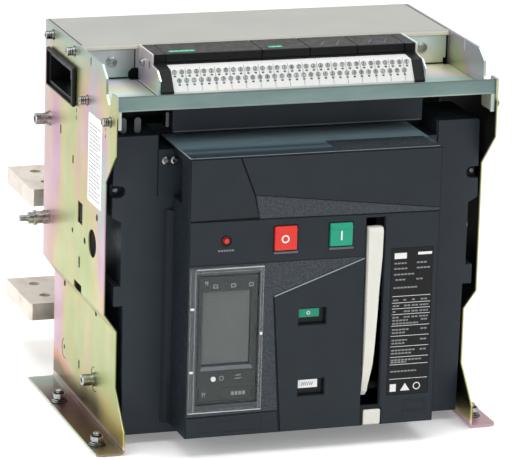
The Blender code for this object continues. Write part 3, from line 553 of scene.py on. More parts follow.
def painted_sheet():
    """Satin light grey paint with a faint orange-peel surface, and a painted highlight on the folded front
    lip.
    """
    look = Look("grey_paint_look", 0.5, specular=0.35)
    shade = look.noise(12.0, 2.0)
    paint = look.ramp(shade, [(0.3, (150, 151, 146)), (0.7, (156, 157, 151))])
    # painted highlight: the folded front lip is paler
    lip = look.span(look.axis("Y"), -0.0538, -0.0546)
    look.colour(look.mix(lip, paint, (226, 222, 206)))
    look.bump(look.noise(900.0, 2.0), 0.06, 0.0002)
    return look.material


def moulded_resin():
    """Dark thermoset resin with a speckled filler."""
    look = Look("resin_look", 0.5, specular=0.4)
    filler = look.noise(420.0, 3.0)
    look.colour(look.ramp(filler, [(0.35, (32, 30, 30)), (0.65, (44, 41, 40))]))
    look.bump(look.noise(1200.0, 2.0), 0.2, 0.0001)
    return look.material


def wound_spring():
    """Oiled spring wire with a dark oxide."""
    look = Look("spring_wire_look", 0.35, metallic=1.0)
    look.colour(look.ramp(look.noise(300.0, 3.0), [(0.3, (70, 72, 76)), (0.7, (104, 106, 110))]))
    look.bump(look.noise(1500.0, 2.0), 0.1, 0.0001)
    return look.material


def bare_copper():
    look = Look("copper_look", 0.35, metallic=1.0)
    look.colour(look.ramp(look.noise(60.0, 4.0), [(0.3, (176, 104, 74)), (0.7, (212, 134, 98))]))
    look.bump(look.noise(900.0, 3.0, stretch=(1.0, 1.0, 0.15)), 0.1, 0.0002)
    return look.material


def screen_face():
    """Display window: flat grey panel under a smooth face."""
    look = Look("screen_look", 0.22, specular=0.4)
    shade = look.noise(18.0, 1.0)
    look.colour(look.ramp(shade, [(0.3, (70, 77, 75)), (0.7, (74, 80, 78))]))
    look.bump(look.noise(2200.0, 1.0), 0.03, 0.00005)
    return look.material


def clear_sheet(name, strength, tint):
    """Clear polycarbonate: mostly see-through, with a faint haze that varies over the sheet."""
    look = Look(name, 0.12, specular=0.6)
    look.colour(look.ramp(look.noise(90.0, 2.0), [(0.3, tint, 0.92), (0.7, tint)]))
    alpha = look.span(look.noise(60.0, 3.0), 0.3, 0.7, strength * 0.85, strength * 1.15)
    look.set("Alpha", alpha)
    look.bump(look.noise(400.0, 2.0), 0.03, 0.0002)
    return look.material


def cover_plastic():
    """Charcoal plastic of the front cover, with painted shade on its left-hand side wall."""
    look = Look("cover_look", 0.42, specular=0.12)
    base = look.ramp(look.noise(35.0, 3.0), [(0.3, (26, 32, 37)), (0.7, (30, 36, 42))])
    # painted shade: the left-hand side wall is darker
    side = look.span(look.axis("X"), -0.14995, -0.15020)
    look.colour(look.mix(side, base, (17, 22, 23)))
    look.roughness(look.noise(120.0, 2.0, offset=(3.0, 1.0, 2.0)), 0.37, 0.49)
    look.bump(look.noise(MOULD_GRAIN, 2.0), 0.25, MOULD_DEPTH)
    return look.material


def cover_top_reflections():
    """Cover top: charcoal plastic with painted reflections: a pale band near the front, a darker band behind
    it, and paler towards the rear.
    """
    look = Look("cover_top_reflection_look", 0.4, specular=0.3)
    depth = look.span(look.axis("Y"), -0.2275, -0.155)
    look.colour(look.ramp(depth, [
        (0.02, (40, 48, 54)),
        (0.22, (42, 51, 58)),
        (0.36, (80, 98, 108)),
        (0.48, (56, 70, 78)),
        (0.62, (112, 136, 148)),
        (0.90, (172, 198, 210)),
    ]))
    look.bump(look.noise(MOULD_GRAIN, 2.0), 0.2, MOULD_DEPTH)
    return look.material


LOOKS = {
    "yellow_zinc": yellow_zinc(),
    "clear_zinc": clear_zinc(),
    "warm_grey_paint": painted_sheet(),
    "charcoal_plastic": plastic("charcoal_look", (31, 38, 45), 0.42, 0.22),
    "black_plastic": plastic("black_look", (14, 15, 17), 0.38, 0.22),
    "white_plastic": plastic("white_look", (212, 212, 210), 0.4, 0.3, 0.02),
    "ivory_plastic": plastic("ivory_look", (214, 213, 203), 0.35, 0.3, 0.02),
    "red_plastic": plastic("red_look", (214, 52, 42), 0.34, 0.3, 0.04),
    "green_plastic": plastic("green_look", (24, 148, 116), 0.34, 0.3, 0.04),
    "clear_plastic": clear_sheet("clear_look", 0.02, (226, 232, 234)),
    "screen_glass": screen_face(),
    "tinned_copper": tinned_bar(),
    "brown_resin": moulded_resin(),
    "plain_steel": plated_steel("plated_steel_look", (176, 178, 176)),
    "spring_steel": wound_spring(),
    "copper": bare_copper(),
}
GRAIN = textured_plastic("grain_look", (24, 29, 34), (62, 68, 74))
RIM = clear_sheet("clear_rim_look", 0.06, (150, 150, 148))
# Painted highlights along the edges of the clear trip cover's rim, strong and soft
EDGE_GLINT = clear_sheet("edge_glint_look", 0.78, (206, 208, 206))
SOFT_GLINT = clear_sheet("soft_glint_look", 0.42, (176, 176, 174))
PALE_GREEN = plastic("window_mark_look", (120, 196, 150), 0.4, 0.3, 0.03)
# Brighter than the white plastic: painted light that lifts the spring flag out of its recess's shade
LIT_FLAG_WHITE = plastic("lit_flag_white_look", (250, 250, 250), 0.4, 0.3, 0.01)
COVER = cover_plastic()
BODY = plastic("body_look", (40, 47, 54), 0.42, 0.22)
# Painted reflections in bands on the cover top
COVER_TOP_REFLECTIONS = cover_top_reflections()
# Painted highlight: pale strips along edges that catch the light
EDGE_HIGHLIGHT = plastic("edge_highlight_look", (150, 160, 166), 0.35, 0.4, 0.05)
SEAM = plastic("seam_look", (10, 11, 12), 0.6, 0.15, 0.05)
PALE_TONGUE = plastic("tongue_look", (96, 97, 100), 0.5, 0.25, 0.05)
PRINT = plastic("white_print_look", (224, 224, 222), 0.5, 0.3, 0.02)
FAINT_PRINT = plastic("grey_print_look", (128, 132, 134), 0.5, 0.3, 0.05)
LABEL = plastic("paper_label_look", (240, 240, 240), 0.6, 0.3, 0.02)
DARK_MARK = plastic("dark_mark_look", (60, 60, 64), 0.6, 0.2, 0.05)
# Lighter copy of the charcoal: painted highlight on lips, the trip sill, the hood's lower edge and the
# module strokes
LIT_CHARCOAL = plastic("lit_charcoal_look", (88, 94, 100), 0.4, 0.3, 0.04)
BEZEL = plastic("bezel_look", (36, 46, 42), 0.42, 0.22, 0.04)
OWN_LOOKS = {
    "front_base_moulding": BODY,
    "front_cover": COVER,
    "lever_pin": SEAM,
    "trip_unit": BEZEL,
    "rating_plug": BEZEL,
}


def dress_cad_nodes():
    """Give every CAD node its look, through its object's material slots."""
    slots = {row["node"]: row["material_slot"] for row in frame["record"]["subparts"]}
    for name, node in frame["nodes"].items():
        for material_slot in node.material_slots:
            material_slot.link = "OBJECT"
            material_slot.material = OWN_LOOKS.get(name, LOOKS[slots[name]])
    lever = frame["nodes"]["charging_lever"]
    weld = lever.modifiers.new("merge_points", "WELD")
    weld.merge_threshold = 0.00002
    add_bevel(lever, 1.2, 3)


# ---------------- front cover

FRONT = front_plane(COVER_LOW.y)
COVER_HALF = 142.0
EDGE = COVER_HALF - 1.4
SEAT_MARGIN = 1.3
WINDOW_MARGIN = 0.8
TRIP_OPENING = (-130.5, -61.5, 58.5, 203.5)
OFF_BUTTON = (-46.5, -22.0, 227.5, 253.5)
ON_BUTTON = (16.0, 41.0, 228.5, 253.5)
CONTACT_WINDOW = (-16.6, 14.0, 142.0, 160.0)
SPRING_WINDOW = (-15.0, 14.5, 62.0, 80.0)
RESET_CENTRE = (-100.4, 240.9)
RATING_PLATE_FIELD = (87.2, 135.3, 54.7, 221.3)


def wider(region, margin):
    """Region grown by a margin on all four sides."""
    u_low, u_high, v_low, v_high = region
    return (u_low - margin, u_high + margin, v_low - margin, v_high + margin)


def cover_panel(name, outline, height, bevel=0.0, openings=(), cut_from=-1.0, look=None):
    """One raised panel of the cover; its openings are cut before its edges are rounded."""
    panel = make_piece(name, prisms(FRONT, [outline], 0.0, height), "charcoal_plastic", look)
    if openings:
        cut(panel, FRONT, openings, cut_from, 3.0)
    if bevel:
        add_bevel(panel, bevel)


def cover_panels():
    """Raised smooth panels and coarse panels on the front of the cover."""
    blank = [(-EDGE, 264.6), (-64.8, 265.2), (-70.6, 290.0), (-86.6, 330.4), (-EDGE, 330.4)]
    cover_panel("cover_blank_panel", blank, 1.4, 0.5)
    upper = [(-68.8, 290.0), (EDGE, 264.9), (EDGE, 330.4), (-84.8, 330.4)]
    cover_panel("cover_upper_panel", upper, 1.4, 0.5)
    buttons = [
        (-EDGE, 214.8),
        (56.9, 214.8),
        (56.9, 257.7),
        (79.6, 257.7),
        (79.6, 44.0),
        (82.2, 41.0),
        (82.2, 23.4),
        (EDGE, 23.4),
        (EDGE, 259.9),
        (-63.9, 262.0),
        (-EDGE, 262.6),
    ]
    openings = [rectangle(*wider(region, SEAT_MARGIN)) for region in (OFF_BUTTON, ON_BUTTON)]
    openings.append(disc(*RESET_CENTRE, 6.2, 24))
    openings.append(rectangle(*RATING_PLATE_FIELD))
    cover_panel("cover_button_panel", buttons, 1.1, 0.35, openings)
    centre = [(-34.0, 23.4), (56.9, 23.4), (56.9, 211.6), (-44.8, 175.2)]
    windows = [rectangle(*wider(region, WINDOW_MARGIN)) for region in (CONTACT_WINDOW, SPRING_WINDOW)]
    cover_panel("cover_centre_panel", centre, 1.9, 0.7, windows)
    foot = [(-EDGE, 23.4), (-36.2, 23.4), (-38.6, 46.2), (-EDGE, 44.6)]
    cover_panel("cover_foot_panel", foot, 1.2, 0.3, [rectangle(-128.0, -56.0, 27.0, 40.0)], 0.6)
    wedge = [(-63.6, 263.4), (EDGE, 261.2), (EDGE, 263.9), (-68.2, 289.0)]
    cover_panel("cover_wedge_grain", wedge, 0.5, look=GRAIN)
    field = [(-EDGE, 46.0), (-38.0, 47.4), (-46.3, 176.3), (56.9, 213.2), (56.9, 214.0), (-EDGE, 214.0)]
    cover_panel("cover_field_grain", field, 0.45, openings=[rectangle(*TRIP_OPENING)], look=GRAIN)


def cover_seams():
    """Dark joints beside the upper panels, and painted highlights below the blank panel and along the upper
    edge of the centre panel.
    """
    mesh = bmesh.new()
    add_prism(mesh, FRONT, [(-70.4, 290.0), (-68.6, 290.0), (-84.6, 330.4), (-86.4, 330.4)], 0.0, 0.6)
    add_prism(mesh, FRONT, [(-64.8, 265.2), (-63.4, 263.2), (-68.6, 290.0), (-70.4, 290.0)], 0.0, 0.7)
    add_prism(mesh, FRONT, [(-EDGE, 262.7), (-63.9, 262.1), (-63.9, 264.9), (-EDGE, 264.5)], 0.0, 0.2)
    make_piece("cover_seams", mesh, "black_plastic", SEAM)
    # painted highlights under the joint below the blank panel and along the centre panel's upper edge
    mesh = bmesh.new()
    add_prism(mesh, FRONT, [(-EDGE, 261.2), (-64.5, 261.2), (-64.5, 261.9), (-EDGE, 262.0)], 0.0, 0.3)
    add_prism(mesh, FRONT, [(-44.6, 175.5), (56.6, 211.8), (56.6, 212.6), (-44.6, 176.3)], 0.0, 1.7)
    make_piece("panel_edge_highlights", mesh, "charcoal_plastic", EDGE_HIGHLIGHT)


def cover_top_ribs():
    """Skin with painted reflections in bands, painted highlights along the edges, and a finely ribbed field
    on top of the cover.
    """
    plane = top_plane(COVER_HIGH.z)
    # thin skin over the cover top that carries the painted reflections
    mesh = prisms(plane, [rectangle(-COVER_HALF + 0.4, COVER_HALF - 0.4, -172.6, -62.4)], 0.0, 0.3)
    make_piece("cover_top_reflection_skin", mesh, "charcoal_plastic", COVER_TOP_REFLECTIONS)
    # painted highlights along the front and left edges of the cover top
    mesh = bmesh.new()
    add_bar(mesh, plane, (-COVER_HALF + 1.0, COVER_HALF - 3.0, -172.9, -172.4), 0.1, 0.5)
    add_bar(mesh, plane, (-COVER_HALF + 0.2, -COVER_HALF + 1.3, -172.6, -66.0), 0.1, 0.6)
    make_piece("cover_top_edge_highlights", mesh, "charcoal_plastic", EDGE_HIGHLIGHT)
    mesh = bmesh.new()
    for index in range(13):
        y = -166.0 + index * 3.0
        add_bar(mesh, plane, (24.0, 136.0, y, y + 1.5), 0.3, 0.9)
    make_piece("cover_top_ribs", mesh, "charcoal_plastic", GRAIN)


def button_surrounds():
    """Black seats round the push buttons and the reset well, and a lip under each button with a painted
    highlight.
    """
    mesh = bmesh.new()
    for region in (OFF_BUTTON, ON_BUTTON):
        add_frame(mesh, FRONT, wider(region, SEAT_MARGIN), wider(region, 0.4), 0.0, 0.5)
    add_ring(mesh, FRONT, RESET_CENTRE, 4.4, 6.2, 0.0, 0.4)
    make_piece("button_seats", mesh, "black_plastic")
    mesh = bmesh.new()
    for u_low, u_high, v_low, v_high in (OFF_BUTTON, ON_BUTTON):
        add_bar(mesh, FRONT, (u_low - 1.0, u_high + 2.0, v_low - 4.2, v_low - 1.4), 1.1, 3.0)
    make_piece("button_lips", mesh, "charcoal_plastic", LIT_CHARCOAL, bevel=0.8)


def push_button(name, region, finish):
    """Square button whose upper edge slopes back above a shallow ridge."""
    u_low, u_high, v_low, v_high = region
    section = Plane((u_low, FRONT.origin.y, 0.0), (0, -1, 0), (0, 0, 1))
    profile = [
        (-5.0, v_low),
        (4.0, v_low),
        (4.0, v_high - 5.6),
        (5.0, v_high - 5.2),
        (5.0, v_high - 4.4),
        (2.6, v_high),
        (-5.0, v_high),
    ]
    mesh = bmesh.new()
    add_prism(mesh, section, profile, 0.0, u_low - u_high)
    cap = make_piece(f"{name}_cap", mesh, finish, body=name, bevel=0.45)
    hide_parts(name)


def reset_ring():
    """Dark skirt round the reset button's tip."""
    low, high = box_mm("reset_button")
    centre = ((low.x + high.x) / 2.0, (low.z + high.z) / 2.0)
    mesh = bmesh.new()
    add_ring(mesh, front_plane(low.y), centre, 2.9, 3.8, -0.2, 0.2, 24)
    make_piece("reset_button_ring", mesh, "black_plastic", SEAM, body="reset_button")


def button_marks():
    """White ring on the off button, white bar on the on button, and short marks by the reset."""
    middle = (OFF_BUTTON[2] + OFF_BUTTON[3]) / 2.0 - 0.6
    mesh = bmesh.new()
    add_ring(mesh, FRONT, ((OFF_BUTTON[0] + OFF_BUTTON[1]) / 2.0 - 0.8, middle), 2.9, 4.5, 3.9, 4.15)
    make_piece("off_button_mark", mesh, "white_plastic", PRINT, body="off_button")
    mesh = bmesh.new()
    centre = (ON_BUTTON[0] + ON_BUTTON[1]) / 2.0
    add_bar(mesh, FRONT, (centre - 0.9, centre + 0.9, middle - 5.0, middle + 5.4), 3.9, 4.15)
    make_piece("on_button_mark", mesh, "white_plastic", PRINT, body="on_button")
    mesh = bmesh.new()
    for index in range(6):
        u = RESET_CENTRE[0] - 9.0 + index * 3.1
        add_bar(mesh, FRONT, (u, u + 2.2, 229.4, 231.2), 1.05, 1.2)
    make_piece("reset_mark", mesh, "white_plastic", FAINT_PRINT)


def window_frames():
    """Recessed dark frames round the two flag windows."""
    mesh = bmesh.new()
    for region in (CONTACT_WINDOW, SPRING_WINDOW):
        add_frame(mesh, FRONT, wider(region, WINDOW_MARGIN), region, 0.0, 0.6)
    make_piece("window_frames", mesh, "black_plastic")


def flag_plate(name, region, field_finish, other_finish):
    """Flag behind its window: a dark strip with a coloured field for each of its two states."""
    u_low, u_high, v_low, v_high = region
    plane = front_plane(FLAG_FACE)
    mesh = bmesh.new()
    add_bar(mesh, plane, (u_low - 3.0, u_high + 3.0, v_low - 1.5 - FLAG_TRAVEL, v_high + 1.5), 0.0, 1.7)
    strip = make_piece(f"{name}_strip", mesh, "black_plastic", body=name)
    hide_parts(name)
    fields = ((0.0, field_finish, "field"), (-FLAG_TRAVEL, other_finish, "second_field"))
    for shift, finish, label in fields:
        mesh = bmesh.new()
        field = rectangle(u_low + 0.4, u_high - 6.0, v_high - 11.0 + shift, v_high - 1.8 + shift)
        add_prism(mesh, plane, field, 1.5, 1.9)
        # the white field takes the brighter white of painted light
        look = LIT_FLAG_WHITE if finish == "white_plastic" else None
        make_piece(f"{name}_{label}", mesh, finish, look, body=name)


def flag_marks():
    """Ring and bar on the contact flag, and a coil drawing on the spring flag."""
    plane = front_plane(FLAG_FACE)
    centre = ((CONTACT_WINDOW[0] + CONTACT_WINDOW[1] - 5.6) / 2.0, CONTACT_WINDOW[3] - 6.4)
    mesh = bmesh.new()
    add_ring(mesh, plane, centre, 1.2, 2.1, 1.85, 1.98, 20)
    bar = rectangle(centre[0] - 0.5, centre[0] + 0.5, centre[1] - 22.6, centre[1] - 17.4)
    add_prism(mesh, plane, bar, 1.85, 1.98)
    make_piece("contact_flag_marks", mesh, "white_plastic", PRINT, body="contact_flag")
    mesh = bmesh.new()
    start = SPRING_WINDOW[0] + 5.0
    for shift in (-6.4, -6.4 - FLAG_TRAVEL):
        for index in range(6):
            u = start + index * 2.3
            v = SPRING_WINDOW[3] + shift
            slant = [(u, v - 2.0), (u + 0.8, v - 2.0), (u + 2.2, v + 2.0), (u + 1.4, v + 2.0)]
            add_prism(mesh, plane, slant, 1.85, 1.98)
    make_piece("spring_flag_marks", mesh, "black_plastic", DARK_MARK, body="spring_flag")


def rating_plate_print():
    """Blank heading bars, rules and short dashes that stand for the plate's print.

    A row of dashes is a height and the stretches that are printed, measured from the left edge.
    """
    plane = front_plane(box_mm("rating_plate")[0].y)
    left = 91.0
    right = 134.0
    mesh = bmesh.new()
    add_bar(mesh, plane, (left, left + 14.0, 209.0, 215.5), 0.0, 0.12)
    add_bar(mesh, plane, (118.0, right, 212.5, 215.5), 0.0, 0.12)
    add_bar(mesh, plane, (left, left + 7.0, 58.5, 67.0), 0.0, 0.12)
    triangle = [(103.0, 59.0), (114.0, 59.0), (108.5, 67.5)]
    add_prism(mesh, plane, triangle, 0.0, 0.12)
    add_ring(mesh, plane, (122.0, 63.5), 3.2, 4.2, 0.0, 0.12, 24)
    make_piece("rating_plate_blocks", mesh, "white_plastic", PRINT)
    mesh = bmesh.new()
    for v in (166.5, 159.0, 152.5, 146.0, 133.0, 121.5, 109.5, 97.5, 89.0, 72.5):
        add_bar(mesh, plane, (left - 1.0, right, v, v + 0.5), 0.0, 0.1)
    make_piece("rating_plate_rules", mesh, "white_plastic", PRINT)
    rows = [
        (203, ((0, 14), (26, 39))),
        (197, ((0, 15), (26, 42))),
        (190.5, ((0, 25),)),
        (184.5, ((2, 14), (26, 35))),
        (175.5, ((0, 28),)),
        (161.5, ((0, 6), (12, 16), (22, 26), (32, 41))),
        (155, ((0, 9), (13, 20), (22, 29), (31, 41))),
        (148.5, ((0, 5), (13, 20), (22, 29), (31, 41))),
        (142, ((0, 9), (13, 20), (22, 29), (31, 41))),
        (138.5, ((0, 18), (33, 41))),
        (135, ((0, 30),)),
        (128, ((0, 20), (33, 41))),
        (124.5, ((0, 17),)),
        (116, ((0, 18), (33, 41))),
        (112.5, ((0, 15),)),
        (104.5, ((0, 28), (33, 41))),
        (101, ((0, 24),)),
        (93.5, ((0, 36),)),
        (91, ((0, 18),)),
        (80.5, ((0, 30),)),
    ]
    mesh = bmesh.new()
    for v, spans in rows:
        for start, end in spans:
            u = left + start
            while u < left + end - 1.0:
                add_prism(mesh, plane, rectangle(u, min(u + 3.2, left + end), v, v + 1.7), 0.0, 0.1)
                u += 4.0
    make_piece("rating_plate_dashes", mesh, "white_plastic", FAINT_PRINT)


def cover_knock_out():
    """Thin raised outline of a knock-out at the foot of the cover."""
    mesh = bmesh.new()
    add_frame(mesh, FRONT, (107.0, 134.0, 34.0, 48.0), (108.0, 133.0, 35.0, 47.0), 1.0, 1.5)
    add_frame(mesh, FRONT, (110.5, 130.5, 36.5, 45.5), (111.2, 129.8, 37.2, 44.8), 1.0, 1.35)
    make_piece("cover_knock_out", mesh, "charcoal_plastic")


# ---------------- trip unit

def trip_unit_details():
    """Bezel, sill, indicator and marks on the trip unit."""
    plane = front_plane(box_mm("trip_unit")[0].y)
    mesh = bmesh.new()
    add_frame(mesh, plane, (-128.6, -63.6, 60.6, 201.6), (-126.4, -66.0, 100.0, 186.4), 0.0, 0.9)
    frame_piece = make_piece("trip_bezel", mesh, "charcoal_plastic", BEZEL)
    cut(frame_piece, plane, [rectangle(-127.6, -64.4, 61.8, 77.2)], -1.0, 3.0)
    mesh = bmesh.new()
    add_prism(mesh, plane, [(-127.0, 97.0), (-66.5, 97.0), (-69.6, 101.6), (-124.6, 101.6)], 0.9, 2.0)
    # painted highlight on the sill
    make_piece("trip_sill", mesh, "charcoal_plastic", LIT_CHARCOAL, bevel=0.5)
    mesh = bmesh.new()
    add_turned(mesh, plane, (-110.8, 87.2), [(0.8, 2.8), (1.6, 2.8), (2.1, 2.0)])
    make_piece("trip_indicator", mesh, "white_plastic", PRINT, smooth=True)
    mesh = bmesh.new()
    add_ring(mesh, plane, (-101.5, 87.5), 2.0, 2.8, 0.8, 1.1)
    add_bar(mesh, plane, (-86.0, -80.0, 89.5, 90.4), 0.8, 1.05)
    add_bar(mesh, plane, (-86.5, -79.0, 86.0, 86.8), 0.8, 1.05)
    for u in (-110.5, -90.5, -70.5):
        add_frame(mesh, plane, (u - 2.6, u + 2.6, 188.6, 192.8), (u - 1.8, u + 1.8, 189.4, 192.0), 0.8, 1.05)
    add_bar(mesh, plane, (-122.6, -118.6, 195.6, 196.5), 0.8, 1.05)
    for u in (-121.6, -119.6):
        add_bar(mesh, plane, (u - 0.35, u + 0.35, 192.6, 195.6), 0.8, 1.05)
    make_piece("trip_marks", mesh, "white_plastic", FAINT_PRINT)
    mesh = bmesh.new()
    plug = front_plane(box_mm("rating_plug")[0].y)
    add_bar(mesh, plug, (-123.5, -119.0, 71.0, 72.0), 0.0, 0.2)
    for u in (-122.4, -120.2):
        add_bar(mesh, plug, (u - 0.35, u + 0.35, 67.6, 71.0), 0.0, 0.2)
    for index in range(4):
        u = -90.0 + index * 4.2
        add_bar(mesh, plug, (u, u + 3.0, 67.6, 71.6), 0.0, 0.2)
    make_piece("rating_plug_marks", mesh, "white_plastic", FAINT_PRINT)
    mesh = bmesh.new()
    for u in (-102.6, -67.4):
        add_bar(mesh, plug, (u - 0.8, u + 0.8, 65.0, 73.5), 0.0, 0.35)
    make_piece("rating_plug_slots", mesh, "black_plastic")


def trip_cover_details():
    """Hazy rim, painted highlights along the rim's edges, hinge knuckles and latch of the clear cover."""
    low, high = box_mm("trip_cover")
    plane = front_plane(low.y)
    outer = (low.x + 0.6, high.x - 0.6, low.z + 0.6, high.z - 0.6)
    inner = (low.x + 6.4, high.x - 4.0, low.z + 4.2, high.z - 4.8)
    mesh = bmesh.new()
    add_frame(mesh, plane, outer, inner, -0.9, -0.4)
    make_piece("trip_cover_rim", mesh, "clear_plastic", RIM, body="trip_cover")
    # painted highlights along the top and bottom edges of the rim
    mesh = bmesh.new()
    add_bar(mesh, plane, (outer[0] + 7.0, outer[1], outer[3] - 1.0, outer[3]), -0.4, -0.05)
    add_bar(mesh, plane, (outer[0], outer[1], outer[2], outer[2] + 0.9), -0.4, -0.05)
    make_piece("trip_cover_edge_glints", mesh, "clear_plastic", EDGE_GLINT, body="trip_cover")
    # painted highlights along the sides of the rim and under its top
    mesh = bmesh.new()
    for u, width in ((outer[0], 0.4), (inner[0] - 0.6, 0.8), (inner[1], 0.5), (outer[1] - 0.6, 0.6)):
        add_bar(mesh, plane, (u, u + width, outer[2] + 0.9, outer[3] - 1.0), -0.4, -0.05)
    add_bar(mesh, plane, (inner[0], inner[1], inner[3], inner[3] + 0.5), -0.4, -0.05)
    make_piece("trip_cover_rim_glints", mesh, "clear_plastic", SOFT_GLINT, body="trip_cover")
    mesh = bmesh.new()
    for z in (168.5, 98.0):
        add_bar(mesh, plane, (low.x + 1.4, low.x + 5.4, z - 1.2, z + 1.2), -1.6, -0.02)
    add_bar(mesh, plane, (high.x - 3.6, high.x - 0.9, 135.4, 138.6), -1.6, -0.02)
    make_piece("trip_cover_knuckles", mesh, "clear_plastic", PRINT, body="trip_cover", bevel=0.4)


# ---------------- body, hood and tray

def body_screws():
    """Screws on the front of the body and inside the finger recesses."""
    plane = front_plane(BODY_LOW.y)
    mesh = bmesh.new()
    for side in (-1, 1):
        for x in (141.0, 151.0):
            add_turned(mesh, plane, (side * x, 316.5), [(0.0, 4.2), (1.6, 4.2), (2.6, 2.8)])
    make_piece("body_screws", mesh, "plain_steel", smooth=True)
    mesh = bmesh.new()
    for side in (-1, 1):
        add_turned(mesh, plane, (side * 203.6, 284.2), [(-10.0, 3.4), (-8.4, 3.4), (-7.6, 2.2)])
    make_piece("recess_screws", mesh, "spring_steel", smooth=True)


def body_tabs():
    """Tongues and a bracket that hang below the tray, and a painted highlight along the lower edge of the
    hood.
    """
    plane = front_plane(-99.0)
    mesh = bmesh.new()
    for x in (-195.0, -179.0):
        add_prism(mesh, plane, rounded_rectangle(x - 3.7, x + 3.7, 345.0, 362.0, 3.2), 0.0, 1.5)
    add_bar(mesh, plane, (-147.8, -144.2, 350.0, 366.0), 0.0, 1.5)
    make_piece("hanging_tabs", mesh, "charcoal_plastic", PALE_TONGUE, bevel=0.4)
    mesh = bmesh.new()
    bracket = [(-206.0, 378.6), (-170.0, 378.6), (-176.0, 370.0), (-190.0, 366.5), (-204.0, 369.0)]
    add_prism(mesh, front_plane(-96.0), bracket, 0.0, 1.5)
    make_piece("tray_bracket", mesh, "yellow_zinc")
    mesh = bmesh.new()
    hood_low = box_mm("upper_hood")[0]
    add_bar(mesh, front_plane(hood_low.y), (-140.0, 140.0, 345.6, 346.6), 0.0, 0.5)
    # painted highlight along the hood's lower edge
    make_piece("hood_edge", mesh, "charcoal_plastic", LIT_CHARCOAL)


def tray_fasteners():
    """Flat screws on the tray's rear wall and pan screws on the end plates."""
    wall = front_plane(TRAY_WALL)
    mesh = bmesh.new()
    for side in (-1, 1):
        add_turned(mesh, wall, (side * 180.0, 400.0), [(0.0, 6.0), (0.9, 6.0), (1.4, 4.6)])
        end = side_plane(side, END_PLATE_FACE[side])
        add_turned(mesh, end, (side * -22.0, 404.0), [(0.0, 4.5), (2.6, 4.5), (4.2, 3.0)])
    make_piece("tray_screws", mesh, "plain_steel", smooth=True)


def sheet_seams_and_shade():
    """Dark joints between the sheets, and the shade of the relief holes beside the terminals."""
    wall = front_plane(TRAY_WALL)
    floor = top_plane(TRAY_FLOOR)
    mesh = bmesh.new()
    add_bar(mesh, wall, (-211.0, -158.0, 381.6, 382.5), 0.0, 1.6)
    add_bar(mesh, wall, (162.0, 206.0, 381.6, 382.5), 0.0, 1.6)
    add_bar(mesh, wall, (-154.4, -153.2, 390.0, 413.0), 0.0, 0.3)
    add_bar(mesh, wall, (208.6, 210.8, 387.0, 413.0), 0.0, 0.3)
    add_bar(mesh, floor, (-154.2, -153.2, -84.0, -6.0), 0.0, 0.2)
    for x in (HOUSING_LOW.x - 6.0, HOUSING_HIGH.x + 5.0):
        add_prism(mesh, wall, disc(x, 385.0, 8.6, 8), -1.6, -0.9)
        add_prism(mesh, floor, disc(x, -2.0, 8.6, 8), -1.6, -0.9)
    top = top_plane(TOP_PLATE_TOP)
    for u_low, u_high in ((-213.8, -212.6), (209.6, 210.8)):
        add_bar(mesh, top, (u_low, u_high, 1.5, 138.0), -0.3, 0.0)
    make_piece("sheet_seams_and_shade", mesh, "black_plastic", SEAM)


def closing_spring_coil():
    """The closing spring, as a copy of the CAD solid with a mesh of its own."""
    solid = frame["nodes"]["closing_spring"]
    coil = new_object("closing_spring_coil", solid.data.copy())
    coil.matrix_world = solid.matrix_world.copy()
    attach(coil, "frame")
    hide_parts("closing_spring")
    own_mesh(coil)


# ---------------- auxiliary terminals

TERMINAL_COUNT = 33
TERMINAL_PITCH = 8.3


def terminal_screws():
    """Two rows of clamp screws, their wells, and the marks below them."""
    plane = terminal_face()
    wells = bmesh.new()
    heads = bmesh.new()
    marks = bmesh.new()
    lines = bmesh.new()
    start = BLOCK_LOW.x + 3.6
    for index in range(TERMINAL_COUNT):
        for v, shift in ((22.4, 0.0), (12.6, TERMINAL_PITCH / 2.0)):
            u = start + index * TERMINAL_PITCH + shift
            if u > BLOCK_HIGH.x - 2.6:
                continue
            add_ring(wells, plane, (u, v), 2.0, 2.7, 0.0, 0.5, 16)
            add_turned(heads, plane, (u, v), [(0.0, 1.9), (0.35, 1.9)], 14)
            add_bar(marks, plane, (u - 0.3, u + 0.3, v - 1.6, v + 1.6), 0.3, 0.45)
            add_bar(marks, plane, (u - 1.3, u + 1.3, v - 5.6, v - 4.0), 0.0, 0.12)
        if index % 2 == 0:
            u = start + (index - 0.5) * TERMINAL_PITCH
            add_bar(lines, plane, (u - 0.25, u + 0.25, 0.5, 27.0), 0.0, 0.14)
    make_piece("terminal_wells", wells, "white_plastic", FAINT_PRINT)
    make_piece("terminal_heads", heads, "plain_steel")
    make_piece("terminal_marks", marks, "black_plastic", DARK_MARK)
    make_piece("terminal_lines", lines, "white_plastic", FAINT_PRINT)


